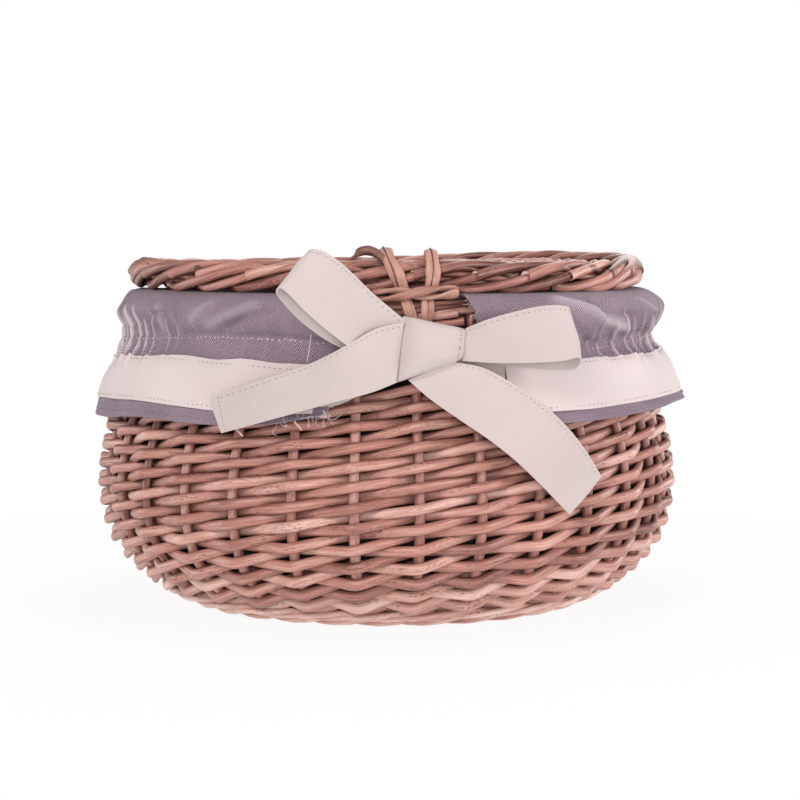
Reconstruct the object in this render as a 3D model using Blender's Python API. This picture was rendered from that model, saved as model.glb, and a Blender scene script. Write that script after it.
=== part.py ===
"""Round willow knitting basket with a lashed wicker lid, a turned-out gathered
lining, a casing band and a ribbon bow.

Blender 4.5, metres, +Z up. The basket stands on z = 0. The lid's lashing is at
the front, towards -Y. The origin is the bottom centre of the whole object's box,
and the basket's own axis stands at (AXIS_X, AXIS_Y).
"""
import math

import bmesh
import bpy
import numpy as np
from mathutils import Matrix, Vector

# ------------------------------------------------------------------ main sizes
STAKES = 30                 # uprights, and as many siding rods
BELLY_R = 0.1706            # stake line at the widest place
BELLY_Z = 0.0750
BASE_R = 0.1180             # stake line where it leaves the base
BASE_Z = 0.0118             # height of the base sticks' centre
RIM_R = 0.1505              # centre of the rim border's section
RIM_Z = 0.1788
AXIS_X = 0.0000             # the basket's axis, from the origin
AXIS_Y = 0.0090
FIT = 0.0003                # gap between pieces that touch
MERGE = 0.00001             # distance under which two vertices are one

# willow rods
STAKE_D = 0.0056
STAKE_TIP_D = 0.0048
STAKE_IN = 0.0095           # a stake's inner end, inside the base's edge
STAKE_CORNER_SHARE = 1.12   # corner of a stake's four-sided section, of its radius
ROD_W = 0.0046              # siding rod across the wall, at the butt
ROD_H = 0.0047              # siding rod up the wall, at the butt
ROD_TIP_SHARE = 0.86        # of its butt, at the last stroke
ROD_CLEAR = 0.0009          # siding rod to stake
ROW_PITCH = 0.0109          # front strokes, up the wall
SIDING_S = 0.0086           # first stroke, along the stake line from the base
SIDING_STROKES = 28

# rim border, foot and top wale
BORDER_D = 0.0150
BORDER_LOBE = 0.0006
FOOT_OUT = 0.0042           # foot ring's middle, outside the base's edge
FOOT_W = 0.0084
FOOT_LOBE = 0.0005
TOP_WALE_LOW_Z = 0.1490
TOP_WALE_TOP_Z = 0.1660
TOP_WALE_W = 0.0032

# base
SLATH_W = 0.0300            # width of a bundle of base sticks
SLATH_L = 0.0560
STICK_D = 0.0046
BASE_STICKS = 13
BASE_WEAVE_IN_R = 0.0345
BASE_WEAVE_GAP = 0.0050     # last turn's middle to the stakes' ends
BASE_WEAVE_PITCH = 0.0098
BASE_ROD_W = 0.0066
BASE_ROD_H = 0.0036

# lid
LID_IN = 0.0025             # lid border's section, inside and above the rim border's
LID_UP = 0.0207
LID_BORDER_D = 0.0196
LID_BORDER_LOBE = 0.0007
LID_STICKS = 13
LID_STICK_D = 0.0046
LID_WEAVE_IN_R = 0.0345
LID_WEAVE_PITCH = 0.0074
LID_ROD_W = 0.0058
LID_ROD_H = 0.0036

# hinge lashing
HINGE_OUT = 0.0100          # axis, outside and above the rim border's section
HINGE_UP = 0.0117
COLLAR_D = 0.0076
COLLAR_L = 0.0430
COLLAR_LOBE_SHARE = 0.10    # the two strands of the wrap, of its radius
LASH_T = 0.0012             # split willow
LASH_W = 0.0066
LID_LOOP_X = 0.0098
LID_LOOP_LEAN = 0.0120      # the left loop leans out at the top
RIM_LOOP_W = 0.0056
RIM_LOOP_X = 0.0054

# lining
CLOTH_T = 0.0012
CUFF_T = 0.0014
BAG_DOWN = 0.0128           # the bag's edge, below the rim border's section
BAG_CLEAR = 0.0006
BAG_STEPS = 24
CUFF_IN = 0.0028            # cuff's inner side, inside the rim border
CUFF_UP = 0.0106            # top of the cuff, above the rim border's section
PUFF_OUT = 0.0040           # the puff, outside the seam
PUFF_Z = 0.1755
SEAM_OUT = 0.0027           # the seam, outside the wall
SEAM_Z = 0.1600
HEM_OUT = 0.0090            # the hem, outside the siding
HEM_Z = 0.1180
SEAM_TILT = 0.0025          # the cuff sits higher at the right than at the left
BAND_TILT = 0.0040
HEM_TILT = 0.0070
SLIT_LEFT_DEG = 14.5        # at the top, left and right of the hinge
SLIT_RIGHT_DEG = 10.5
SLIT_LEFT_LOW_DEG = 17.0    # from the seam down
SLIT_RIGHT_LOW_DEG = 15.5
CUFF_STEPS = 54
FOLDS = 27
FOLD_DEPTH = 0.0040
ELASTIC_OFF = 0.0014        # clear of the waisted seam and its facets
ELASTIC_W = 0.0012
ELASTIC_H = 0.0022

# band, ribbon and bow
BAND_T = 0.0010
BAND_OFF = 0.0016           # clear of the skirt between its facets
BAND_TOP_Z = 0.1530
BAND_BOTTOM_Z = 0.1262
BAND_LEFT_DEG = 19.0
BAND_RIGHT_DEG = 16.5
RIBBON_W = 0.0250
RIBBON_T = 0.0012
KNOT_X = 0.0090
KNOT_Z = 0.1610
KNOT_W = 0.0330
KNOT_H = 0.0250
KNOT_T = 0.0110
KNOT_OFF = 0.0055           # back of the knot, outside the seam
LOOP_LEFT_L = 0.0750
LOOP_LEFT_DEG = 33.0
LOOP_LEFT_OUT = 0.0265      # front layer's bulge, past the knot's back
LOOP_RIGHT_L = 0.0570
LOOP_RIGHT_DEG = 5.0
LOOP_RIGHT_OUT = 0.0230
LOOP_TURN = 0.0055
TAIL_LEFT_X = -0.1130       # ends of the tails, from the basket's axis
TAIL_LEFT_Z = 0.1225
TAIL_RIGHT_X = 0.0985
TAIL_RIGHT_Z = 0.0765
TAIL_DROP_SHARE = 0.3       # of its length, in which a tail comes down to the cloth
TIE_BACK = 0.0016           # the ties' outer end, behind the knot's back
TAIL_OFF = 0.0008           # tail to the cloth under it

# shares of the way from base to belly, and from belly to rim: (radius, height)
STATION_SHARES = (0.02, 0.08, 0.14, 0.20, 0.28, 0.38, 0.51, 0.68, 1.0)   # along a stake
LOWER_SHARES = ((0.0, 0.0), (0.19, 0.01), (0.48, 0.11), (0.63, 0.23), (0.82, 0.41),
                (0.91, 0.57), (0.97, 0.74), (1.0, 1.0))
UPPER_SHARES = ((0.07, 0.14), (0.24, 0.29), (0.49, 0.46), (0.74, 0.72), (1.0, 1.0))

FRONT = -math.pi / 2
STEP = 2 * math.pi / STAKES
STAKE_IN_R = BASE_R - STAKE_IN
LID_R = RIM_R - LID_IN
LID_Z = RIM_Z + LID_UP
HINGE_Y = RIM_R + HINGE_OUT
HINGE_Z = RIM_Z + HINGE_UP
CUFF_TOP_Z = RIM_Z + CUFF_UP
BAG_TOP_Z = RIM_Z - BAG_DOWN

for old in list(bpy.data.objects):
    bpy.data.objects.remove(old, do_unlink=True)


# ------------------------------------------------------------------- materials
def material(name, colour, roughness):
    m = bpy.data.materials.new(name)
    m.use_nodes = True
    b = m.node_tree.nodes["Principled BSDF"]
    b.inputs["Base Color"].default_value = (*colour, 1)
    b.inputs["Roughness"].default_value = roughness
    b.inputs["Metallic"].default_value = 0.0
    return m


WILLOW = material("willow", (0.45, 0.24, 0.16), 0.55)
WILLOW_PALE = material("split_willow", (0.56, 0.36, 0.24), 0.5)
CLOTH = material("lining_cloth", (0.22, 0.18, 0.21), 0.9)
RIBBON = material("ribbon_cloth", (0.72, 0.58, 0.52), 0.85)

# --------------------------------------------------------------------- empties
basket_axis = bpy.data.objects.new("basket_axis", None)
basket_axis.location = (AXIS_X, AXIS_Y, 0)
bpy.context.scene.collection.objects.link(basket_axis)
hinge_axis = bpy.data.objects.new("lid_hinge_axis", None)
hinge_axis.parent = basket_axis
hinge_axis.location = (0, -HINGE_Y, HINGE_Z)
bpy.context.scene.collection.objects.link(hinge_axis)


# ----------------------------------------------------------------- small tools
def add(name, mesh, mat, parent=basket_axis, turn=0.0):
    """Puts a mesh, built about the basket's axis, under its empty."""
    o = bpy.data.objects.new(name, mesh)
    if not mesh.materials:
        mesh.materials.append(mat)
    bpy.context.scene.collection.objects.link(o)
    o.parent = parent
    if parent is hinge_axis:
        mesh.transform(Matrix.Translation(-hinge_axis.location))
    o.rotation_euler = (0, 0, turn)
    return o


def to_mesh(bm, name, smooth=40):
    bmesh.ops.recalc_face_normals(bm, faces=bm.faces)
    m = bpy.data.meshes.new(name)
    bm.to_mesh(m)
    bm.free()
    m.shade_smooth()
    m.set_sharp_from_angle(angle=math.radians(smooth))
    return m


def loft(name, rings, closed=False):
    """Skins a run of rings with equal counts; open runs are capped."""
    bm = bmesh.new()
    vs = [[bm.verts.new(p) for p in ring] for ring in rings]
    n, count = len(rings[0]), len(rings)
    for i in range(count if closed else count - 1):
        a, b = vs[i], vs[(i + 1) % count]
        for j in range(n):
            bm.faces.new((a[j], a[(j + 1) % n], b[(j + 1) % n], b[j]))
    if not closed:
        bm.faces.new(vs[0])
        bm.faces.new(vs[-1])
    return to_mesh(bm, name)


def joined(name, meshes):
    bm = bmesh.new()
    for m in meshes:
        bm.from_mesh(m)
        bpy.data.meshes.remove(m)
    return to_mesh(bm, name)


def union(obj, tool_mesh, name):
    """Fuses tool_mesh to obj with a Boolean whose cutter stays out of the model."""
    cutter = add(name, tool_mesh, WILLOW, obj.parent)
    cutter.hide_render = True
    cutter.display_type = "WIRE"
    mod = obj.modifiers.new(name, "BOOLEAN")
    mod.operation = "UNION"
    mod.solver = "EXACT"
    mod.object = cutter
    return obj


# ------------------------------------------------------------------- wall line
def spline(points, steps=24):
    """Catmull-Rom through points, as a dense polyline."""
    p = [np.array(q, float) for q in points]
    p = [2 * p[0] - p[1]] + p + [2 * p[-1] - p[-2]]
    out = []
    for i in range(1, len(p) - 2):
        for t in np.arange(steps) / steps:
            out.append(0.5 * ((2 * p[i]) + (p[i + 1] - p[i - 1]) * t
                              + (2 * p[i - 1] - 5 * p[i] + 4 * p[i + 1] - p[i + 2]) * t * t
                              + (3 * p[i] - 3 * p[i + 1] + p[i + 2] - p[i - 1]) * t ** 3))
    out.append(p[-2])
    return np.array(out)


LINE = spline([(STAKE_IN_R, BASE_Z)]
              + [(BASE_R + a * (BELLY_R - BASE_R), BASE_Z + b * (BELLY_Z - BASE_Z))
                 for a, b in LOWER_SHARES]
              + [(BELLY_R + a * (RIM_R - BELLY_R), BELLY_Z + b * (RIM_Z - BELLY_Z))
                 for a, b in UPPER_SHARES])
ARC = np.concatenate([[0.0], np.cumsum(np.hypot(*np.diff(LINE, axis=0).T))])
ARC -= np.interp(BASE_R, LINE[:24 * 2, 0], ARC[:24 * 2])
TANGENT = np.gradient(LINE, ARC, axis=0)
TANGENT /= np.linalg.norm(TANGENT, axis=1)[:, None]


def wall(s, off=0.0, up=0.0):
    """(radius, height) at arc length s of the stake line, moved off outwards
    along the wall's normal and up along the wall."""
    r, z = np.interp(s, ARC, LINE[:, 0]), np.interp(s, ARC, LINE[:, 1])
    tr, tz = np.interp(s, ARC, TANGENT[:, 0]), np.interp(s, ARC, TANGENT[:, 1])
    k = math.hypot(tr, tz)
    tr, tz = tr / k, tz / k
    return r + off * tz + up * tr, z - off * tr + up * tz


def polar(r, angle, z):
    return Vector((r * math.cos(angle), r * math.sin(angle), z))


def s_at_height(z):
    """Arc length where the stake line reaches height z, above the base."""
    k = LINE[:, 1] > BASE_Z + FIT
    return float(np.interp(z, LINE[k, 1], ARC[k]))


# sizes that follow from the wall
ROD_OFF = STAKE_D / 2 + ROD_W / 2 + ROD_CLEAR
CUFF_IN_R = RIM_R - BORDER_D / 2 - CUFF_IN
SEAM_R = wall(s_at_height(SEAM_Z))[0] + ROD_OFF + ROD_W / 2 + SEAM_OUT
PUFF_R = SEAM_R + PUFF_OUT
HEM_R = wall(s_at_height(HEM_Z))[0] + ROD_OFF + ROD_W / 2 + HEM_OUT
KNOT_BACK = SEAM_R + KNOT_OFF
print("SEAM_R", round(SEAM_R, 4), "HEM_R", round(HEM_R, 4), "PUFF_R", round(PUFF_R, 4))


# ----------------------------------------------- stakes with their rim border
def stake_mesh(angle):
    top = ARC[-1]
    rings = []
    for s in [ARC[0]] + [top * k for k in STATION_SHARES]:
        d = STAKE_D + (STAKE_TIP_D - STAKE_D) * max(s, 0) / top
        ring = []
        for j in range(4):
            a = 2 * math.pi * (j + 0.5) / 4
            r, z = wall(s, d / 2 * STAKE_CORNER_SHARE * math.cos(a))
            side = d / 2 * STAKE_CORNER_SHARE * math.sin(a)
            p = polar(r, angle, z)
            ring.append(p + Vector((-math.sin(angle), math.cos(angle), 0)) * side)
        rings.append(ring)
    return loft("stake", rings)


def lobed_ring(name, radius, height, diameter, lobe, steps, sides, lobes):
    """A ring of twisted rods: its round section carries lobes that run round it."""
    rings = []
    for i in range(steps):
        t = 2 * math.pi * i / steps
        ring = []
        for j in range(sides):
            a = 2 * math.pi * j / sides
            d = diameter / 2 - lobe + lobe * math.cos(2 * a - lobes * t)
            ring.append(polar(radius + d * math.cos(a), FRONT + t, height + d * math.sin(a)))
        rings.append(ring)
    return loft(name, rings, closed=True)


stakes = add("stakes_and_border",
             joined("stakes", [stake_mesh(FRONT + k * STEP) for k in range(STAKES)]), WILLOW)
union(stakes, lobed_ring("rim_ring", RIM_R, RIM_Z, BORDER_D, BORDER_LOBE,
                         2 * STAKES, 6, STAKES), "rim_border_tool")

# ----------------------------------------------------------- siding, 30 rods
def siding_rod():
    """One rod: behind its first stake, before the next, and so on, a half pitch
    higher at each stake."""
    rings = []
    stops = [-0.36] + list(range(SIDING_STROKES)) + [SIDING_STROKES - 1 + 0.36]
    for i in stops:
        share = max(0.0, min(1.0, i / (SIDING_STROKES - 1)))
        k = 1 + (ROD_TIP_SHARE - 1) * share
        off = -ROD_OFF * math.cos(math.pi * i)
        s = SIDING_S + i * ROW_PITCH / 2
        ring = []
        for a, b in ((1, 0), (0, 1), (-1, 0), (0, -1)):
            r, z = wall(s, off + a * k * ROD_W / 2, b * k * ROD_H / 2)
            ring.append(polar(r, FRONT + i * STEP, z))
        rings.append(ring)
    return loft("siding_rod", rings)


rod = siding_rod()
for k in range(STAKES):
    add(f"weaver_{k + 1:02d}", rod, WILLOW, turn=k * STEP)

# --------------------------------------------------- foot ring and top wale
FOOT_H = BASE_Z - STAKE_D / 2 * STAKE_CORNER_SHARE * math.cos(math.pi / 4) - FIT
FOOT_SHARES = ((-0.28, 0.0), (0.28, 0.0), (0.5, 0.5), (0.0, 1.0), (-0.5, 0.5))


def bottom_wale():
    """The rope of rods under the turned-up stakes, worn flat where it stands."""
    rings = []
    for i in range(2 * STAKES):
        ring = []
        for j, (a, b) in enumerate(FOOT_SHARES):
            lobe = FOOT_LOBE * (-1) ** (i + j)
            ring.append(polar(BASE_R + FOOT_OUT + a * FOOT_W + lobe, FRONT + i * STEP / 2,
                              b * FOOT_H - b * (FOOT_LOBE + lobe) / 2))
        rings.append(ring)
    return loft("bottom_wale", rings, closed=True)


add("bottom_wale", bottom_wale(), WILLOW)


def top_wale():
    """Closes the siding from the last strokes up to the border. The cuff covers it."""
    inner = STAKE_D / 2 * STAKE_CORNER_SHARE * math.cos(math.pi / 4) + 4 * FIT
    heights = (TOP_WALE_LOW_Z, (TOP_WALE_LOW_Z + TOP_WALE_TOP_Z) / 2, TOP_WALE_TOP_Z)
    section = ([wall(s_at_height(z), inner + TOP_WALE_W) for z in heights]
               + [wall(s_at_height(z), inner) for z in heights[::-1]])
    rings = [[polar(r, FRONT + i * STEP, z) for r, z in section] for i in range(STAKES)]
    return loft("top_wale", rings, closed=True)


add("top_wale", top_wale(), WILLOW)


# --------------------------------------------------------- woven discs: slath
def box_mesh(w, l, h, z, turn):
    bm = bmesh.new()
    bmesh.ops.create_cube(bm, size=1.0)
    bmesh.ops.scale(bm, vec=(w, l, h), verts=bm.verts)
    bmesh.ops.rotate(bm, matrix=Matrix.Rotation(turn, 3, "Z"), verts=bm.verts)
    bmesh.ops.translate(bm, vec=(0, 0, z), verts=bm.verts)
    return to_mesh(bm, "slath")


def spoke_mesh(angle, r0, r1, d, z):
    """A stick from the slath to the edge, thinner at its tip."""
    side = Vector((-math.sin(angle), math.cos(angle), 0))
    rings = []
    for r, k in ((r0, 1.0), (r1, ROD_TIP_SHARE)):
        rings.append([polar(r, angle, z) + side * (k * d / 2 * math.cos(a))
                      + Vector((0, 0, k * d / 2 * math.sin(a)))
                      for a in (0, math.pi / 2, math.pi, 3 * math.pi / 2)])
    return loft("spoke", rings)


def slath(name, count, d, r1, z, parent):
    """The cross of sticks at the centre: one bundle through the other, opened
    out into single sticks."""
    o = add(name, box_mesh(SLATH_W, SLATH_L, d * 1.6, z, 0), WILLOW, parent)
    union(o, box_mesh(SLATH_L, SLATH_W, d * 0.9, z, 0), name + "_cross_tool")
    spokes = [spoke_mesh(FRONT + 2 * math.pi * k / count, SLATH_W / 2 * 0.8, r1, d, z)
              for k in range(count)]
    # every second one per cutter, so that no two of a cutter's sticks meet
    paired = count - count % 2
    union(o, joined("spokes", spokes[0:paired:2]), name + "_fan_tool")
    union(o, joined("spokes", spokes[1:paired:2]), name + "_fan2_tool")
    if count % 2:
        union(o, spokes[-1], name + "_odd_tool")
    return o


def spiral_weave(name, count, r0, r1, pitch, w, h, d, z):
    """One rod wound round the odd number of sticks, over one and under the next."""
    off = d / 2 + h / 2 + ROD_CLEAR
    n = int((r1 - r0) / pitch * count)
    rings = []
    for i in range(n + 1):
        r = r0 + pitch * i / count
        a = FRONT + 2 * math.pi * i / count
        dz = off * (-1) ** i
        rings.append([polar(r + w / 2 * x, a, z + dz + h / 2 * y)
                      for x, y in ((1, 0), (0, 1), (-1, 0), (0, -1))])
    return loft(name, rings)


slath("base_sticks", BASE_STICKS, STICK_D, STAKE_IN_R - FIT, BASE_Z, basket_axis)
add("base_weave", spiral_weave("base_weave", BASE_STICKS, BASE_WEAVE_IN_R,
                               STAKE_IN_R - BASE_WEAVE_GAP,
                               BASE_WEAVE_PITCH, BASE_ROD_W, BASE_ROD_H, STICK_D, BASE_Z),
    WILLOW)

LID_EDGE = LID_R - LID_BORDER_D / 2
slath("lid_sticks", LID_STICKS, LID_STICK_D, LID_EDGE - FIT, LID_Z, hinge_axis)
add("lid_weave", spiral_weave("lid_weave", LID_STICKS, LID_WEAVE_IN_R,
                              LID_EDGE - LID_ROD_W / 2 - 2 * FIT, LID_WEAVE_PITCH,
                              LID_ROD_W, LID_ROD_H, LID_STICK_D, LID_Z), WILLOW, hinge_axis)
add("lid_border", lobed_ring("lid_border", LID_R, LID_Z, LID_BORDER_D, LID_BORDER_LOBE,
                             2 * STAKES, 8, STAKES), WILLOW, hinge_axis)


# -------------------------------------------------------------- hinge lashing
def lash_loop(name, radius, height, d, x, width, lean, parent, nose=0.0, nose_angle=0.0):
    """A flat strand round a border: a band with a bore for the border."""
    inner, outer = d / 2 + FIT, d / 2 + FIT + LASH_T
    bm = bmesh.new()
    steps = 14
    loops = []
    for rr, side in ((inner, -1), (outer, -1), (outer, 1), (inner, 1)):
        row = []
        for i in range(steps):
            a = 2 * math.pi * i / steps
            # the strand leaves the border and reaches out to the waist
            rr_here = rr + nose * max(0.0, math.cos(a - nose_angle)) ** 6
            up = (1 + math.sin(a)) / 2
            px = x + side * width / 2 + lean * up
            # the border is round, so the strand keeps to its circle
            rad = math.sqrt(max(radius ** 2 - px ** 2, 0))
            row.append(bm.verts.new((px, -(rad + rr_here * math.cos(a)),
                                     height + rr_here * math.sin(a))))
        loops.append(row)
    for k in range(4):
        a, b = loops[k], loops[(k + 1) % 4]
        for i in range(steps):
            j = (i + 1) % steps
            bm.faces.new((a[i], a[j], b[j], b[i]))
    return add(name, to_mesh(bm, name), WILLOW_PALE, parent)


lash_loop("lid_loop_left", LID_R, LID_Z, LID_BORDER_D, -LID_LOOP_X, LASH_W,
          -LID_LOOP_LEAN, hinge_axis)
lash_loop("lid_loop_right", LID_R, LID_Z, LID_BORDER_D, LID_LOOP_X, LASH_W, 0, hinge_axis)
TO_WAIST = math.hypot(HINGE_Y - RIM_R, HINGE_Z - RIM_Z)
NOSE = TO_WAIST - COLLAR_D / 2 - FIT - (BORDER_D / 2 + FIT + LASH_T)
NOSE_ANGLE = math.atan2(HINGE_Z - RIM_Z, HINGE_Y - RIM_R)
lash_loop("rim_loop_left", RIM_R, RIM_Z, BORDER_D, -RIM_LOOP_X, RIM_LOOP_W, 0, basket_axis,
          NOSE, NOSE_ANGLE)
lash_loop("rim_loop_right", RIM_R, RIM_Z, BORDER_D, RIM_LOOP_X, RIM_LOOP_W, 0, basket_axis,
          NOSE, NOSE_ANGLE)


def hinge_collar():
    """Two strands wound round the waist of the lashing: a waisted double roll."""
    rings = []
    steps, sides = 12, 6
    for i in range(steps + 1):
        t = i / steps
        x = COLLAR_L * (t - 0.5)
        end = 0.72 if i in (0, steps) else 1.0
        ring = []
        for j in range(sides):
            a = 2 * math.pi * j / sides
            d = COLLAR_D / 2 * end * (1 - COLLAR_LOBE_SHARE
                                      + COLLAR_LOBE_SHARE * math.cos(2 * a - 4 * math.pi * t))
            ring.append(Vector((x, -HINGE_Y + d * math.cos(a), HINGE_Z + d * math.sin(a))))
        rings.append(ring)
    return loft("hinge_collar", rings)


add("hinge_collar", hinge_collar(), WILLOW_PALE)

# --------------------------------------------------------------------- lining
BAG_OFF = -(ROD_OFF + ROD_W / 2 + BAG_CLEAR)


def lining_bag():
    floor_z = BASE_Z - BAG_OFF
    s_top = s_at_height(BAG_TOP_Z)
    outer, inner = [], []
    for s in np.linspace(SIDING_S, s_top, 7):
        outer.append(wall(s, BAG_OFF))
        inner.append(wall(s, BAG_OFF - CLOTH_T))
    outer = [(0.0, floor_z), (BASE_R * 0.5, floor_z)] + outer
    inner = inner[::-1] + [(BASE_R * 0.5, floor_z + CLOTH_T), (0.0, floor_z + CLOTH_T)]
    bm = bmesh.new()
    vs = [bm.verts.new((r, 0, z)) for r, z in outer + inner]
    es = [bm.edges.new((vs[i], vs[i + 1])) for i in range(len(vs) - 1)]
    bmesh.ops.spin(bm, geom=vs + es, cent=(0, 0, 0), axis=(0, 0, 1), angle=2 * math.pi,
                   steps=BAG_STEPS, use_merge=True)
    bmesh.ops.remove_doubles(bm, verts=bm.verts, dist=MERGE)
    return to_mesh(bm, "lining_bag")


add("lining_bag", lining_bag(), CLOTH)

# The cuff's outline, up from the lining's edge, over the border, out in a puff,
# in at the seam and out to the hem.
cuff_in_z = BAG_TOP_Z + (RIM_Z - BAG_TOP_Z) * 0.35
CUFF_LINE = spline([
    (CUFF_IN_R, cuff_in_z),
    (CUFF_IN_R, RIM_Z),
    (CUFF_IN_R + (RIM_R - CUFF_IN_R) * 0.4, CUFF_TOP_Z - CUFF_T * 0.35),
    (RIM_R + (PUFF_R - RIM_R) * 0.35, CUFF_TOP_Z),
    (PUFF_R - (PUFF_R - RIM_R) * 0.12, CUFF_TOP_Z - (CUFF_TOP_Z - PUFF_Z) * 0.45),
    (PUFF_R, PUFF_Z),
    (SEAM_R + (PUFF_R - SEAM_R) * 0.45, SEAM_Z + (PUFF_Z - SEAM_Z) * 0.35),
    (SEAM_R, SEAM_Z),
    (SEAM_R + (HEM_R - SEAM_R) * 0.28, SEAM_Z - (SEAM_Z - HEM_Z) * 0.30),
    (SEAM_R + (HEM_R - SEAM_R) * 0.66, SEAM_Z - (SEAM_Z - HEM_Z) * 0.66),
    (HEM_R, HEM_Z)], steps=8)
CUFF_ARC = np.concatenate([[0.0], np.cumsum(np.hypot(*np.diff(CUFF_LINE, axis=0).T))])
CUFF_TAN = np.gradient(CUFF_LINE, CUFF_ARC, axis=0)
CUFF_TAN /= np.linalg.norm(CUFF_TAN, axis=1)[:, None]
CUFF_SEAM_S = float(CUFF_ARC[8 * 7])


def cuff_at(s, off):
    """(radius, height) on the cuff's outer face, moved off outwards."""
    r, z = (np.interp(s, CUFF_ARC, CUFF_LINE[:, i]) for i in (0, 1))
    tr, tz = (np.interp(s, CUFF_ARC, CUFF_TAN[:, i]) for i in (0, 1))
    k = math.hypot(tr, tz)
    return r - off * tz / k, z + off * tr / k


def tilt(z, a):
    """Rise of the cloth that would be at height z on a level cuff, at angle a from
    the front."""
    return math.sin(a) * float(np.interp(z, (HEM_Z, BAND_BOTTOM_Z, SEAM_Z, CUFF_TOP_Z),
                                         (HEM_TILT, BAND_TILT, SEAM_TILT, 0.0)))


def level(z, a):
    """Height on a level cuff of what is at height z on the tilted one."""
    flat = z
    for _ in range(8):
        flat = z - tilt(flat, a)
    return flat


def skirt_r(z, off=0.0, a=0.0):
    """Radius of the skirt's outer face at height z, below the seam."""
    k = CUFF_ARC >= CUFF_SEAM_S
    line = CUFF_LINE[k][::-1]
    return float(np.interp(level(z, a), line[:, 1], line[:, 0])) + off


def fold_depth(s, angle_from_front):
    """Gathers: deep in the puff, none at the seam's stitches or on the border."""
    total = CUFF_SEAM_S
    t = s / total
    up = math.exp(-((t - 0.78) / 0.16) ** 2)
    front = min(1.0, max(0.0, (abs(angle_from_front) - math.radians(SLIT_LEFT_DEG)) / 0.5))
    return FOLD_DEPTH * up * (0.35 + 0.65 * front)


def lining_cuff():
    outer = [float(CUFF_ARC[8 * k]) for k in (0, 1, 2, 3, 4, 5, 6, 7, 8, 10)]
    inner = [float(CUFF_ARC[8 * k]) for k in (10, 7, 5, 4, 3, 2, 1, 0)]
    rings = []
    for i in range(CUFF_STEPS + 1):
        wave = 0.5 - 0.5 * math.cos(2 * math.pi * FOLDS * i / CUFF_STEPS)
        ring = []
        for side, run in ((0.0, outer), (-CUFF_T, inner)):
            for s in run:
                low = min(1.0, s / CUFF_SEAM_S)
                a0 = math.radians(SLIT_RIGHT_DEG + (SLIT_RIGHT_LOW_DEG - SLIT_RIGHT_DEG) * low)
                a1 = -math.radians(SLIT_LEFT_DEG + (SLIT_LEFT_LOW_DEG - SLIT_LEFT_DEG) * low)
                a = a0 + (a1 + 2 * math.pi - a0) * i / CUFF_STEPS
                away = min(a, 2 * math.pi - a)
                r, z = cuff_at(s, side - wave * fold_depth(s, away))
                ring.append(polar(r, FRONT + a, z + tilt(z, a)))
        rings.append(ring)
    return loft("lining_cuff", rings)


add("lining_cuff", lining_cuff(), CLOTH)


def strap_round(name, a0, a1, steps, points, mat):
    """A flat strap round the cuff: points are (radius, height) at each corner."""
    rings = []
    for i in range(steps + 1):
        a = a0 + (a1 - a0) * i / steps
        rings.append([polar(r, FRONT + a, z + tilt(z, a)) for r, z in points])
    return add(name, loft(name, rings), mat)


band_rows = [BAND_BOTTOM_Z, (BAND_BOTTOM_Z + BAND_TOP_Z) / 2, BAND_TOP_Z]
band_points = ([(skirt_r(z, BAND_OFF), z) for z in band_rows]
               + [(skirt_r(z, BAND_OFF + BAND_T), z) for z in band_rows[::-1]])
strap_round("trim_band", math.radians(BAND_RIGHT_DEG), 2 * math.pi - math.radians(BAND_LEFT_DEG),
            30, band_points, RIBBON)
elastic_in = SEAM_R + ELASTIC_OFF
strap_round("cuff_elastic", math.radians(SLIT_RIGHT_LOW_DEG),
            2 * math.pi - math.radians(SLIT_LEFT_LOW_DEG),
            30, [(elastic_in, SEAM_Z - ELASTIC_H / 2),
                 (elastic_in + ELASTIC_W, SEAM_Z - ELASTIC_H / 2),
                 (elastic_in + ELASTIC_W, SEAM_Z + ELASTIC_H / 2),
                 (elastic_in, SEAM_Z + ELASTIC_H / 2)], CLOTH)


# ------------------------------------------------------------------------ bow
def ribbon(name, path, across, w, t, mat=RIBBON):
    """A strip of ribbon: path points, the direction across it at each, and a
    width share at each."""
    rings = []
    n = len(path)
    for i in range(n):
        p = path[i]
        fwd = (path[min(i + 1, n - 1)] - path[max(i - 1, 0)]).normalized()
        side = (across[i] - fwd * across[i].dot(fwd)).normalized()
        face = fwd.cross(side).normalized()
        k = w[i]
        rings.append([p + side * k / 2 + face * t / 2, p - side * k / 2 + face * t / 2,
                      p - side * k / 2 - face * t / 2, p + side * k / 2 - face * t / 2])
    return add(name, loft(name, rings), mat)


def bow_knot():
    bm = bmesh.new()
    bmesh.ops.create_uvsphere(bm, u_segments=12, v_segments=8, radius=1.0)
    for v in bm.verts:
        x, y, z = v.co
        m = (abs(x) ** 4 + abs(z) ** 4 + abs(y) ** 2.6) ** (1 / 3.6)
        v.co = Vector((x, y, z)) / m
        v.co.x *= KNOT_W / 2 * (1 - 0.08 * v.co.z)
        v.co.z *= KNOT_H / 2
        v.co.y *= KNOT_T / 2
    bmesh.ops.translate(bm, vec=(KNOT_X, -(KNOT_BACK + KNOT_T / 2), KNOT_Z), verts=bm.verts)
    return to_mesh(bm, "bow_knot")


add("bow_knot", bow_knot(), RIBBON)


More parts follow.
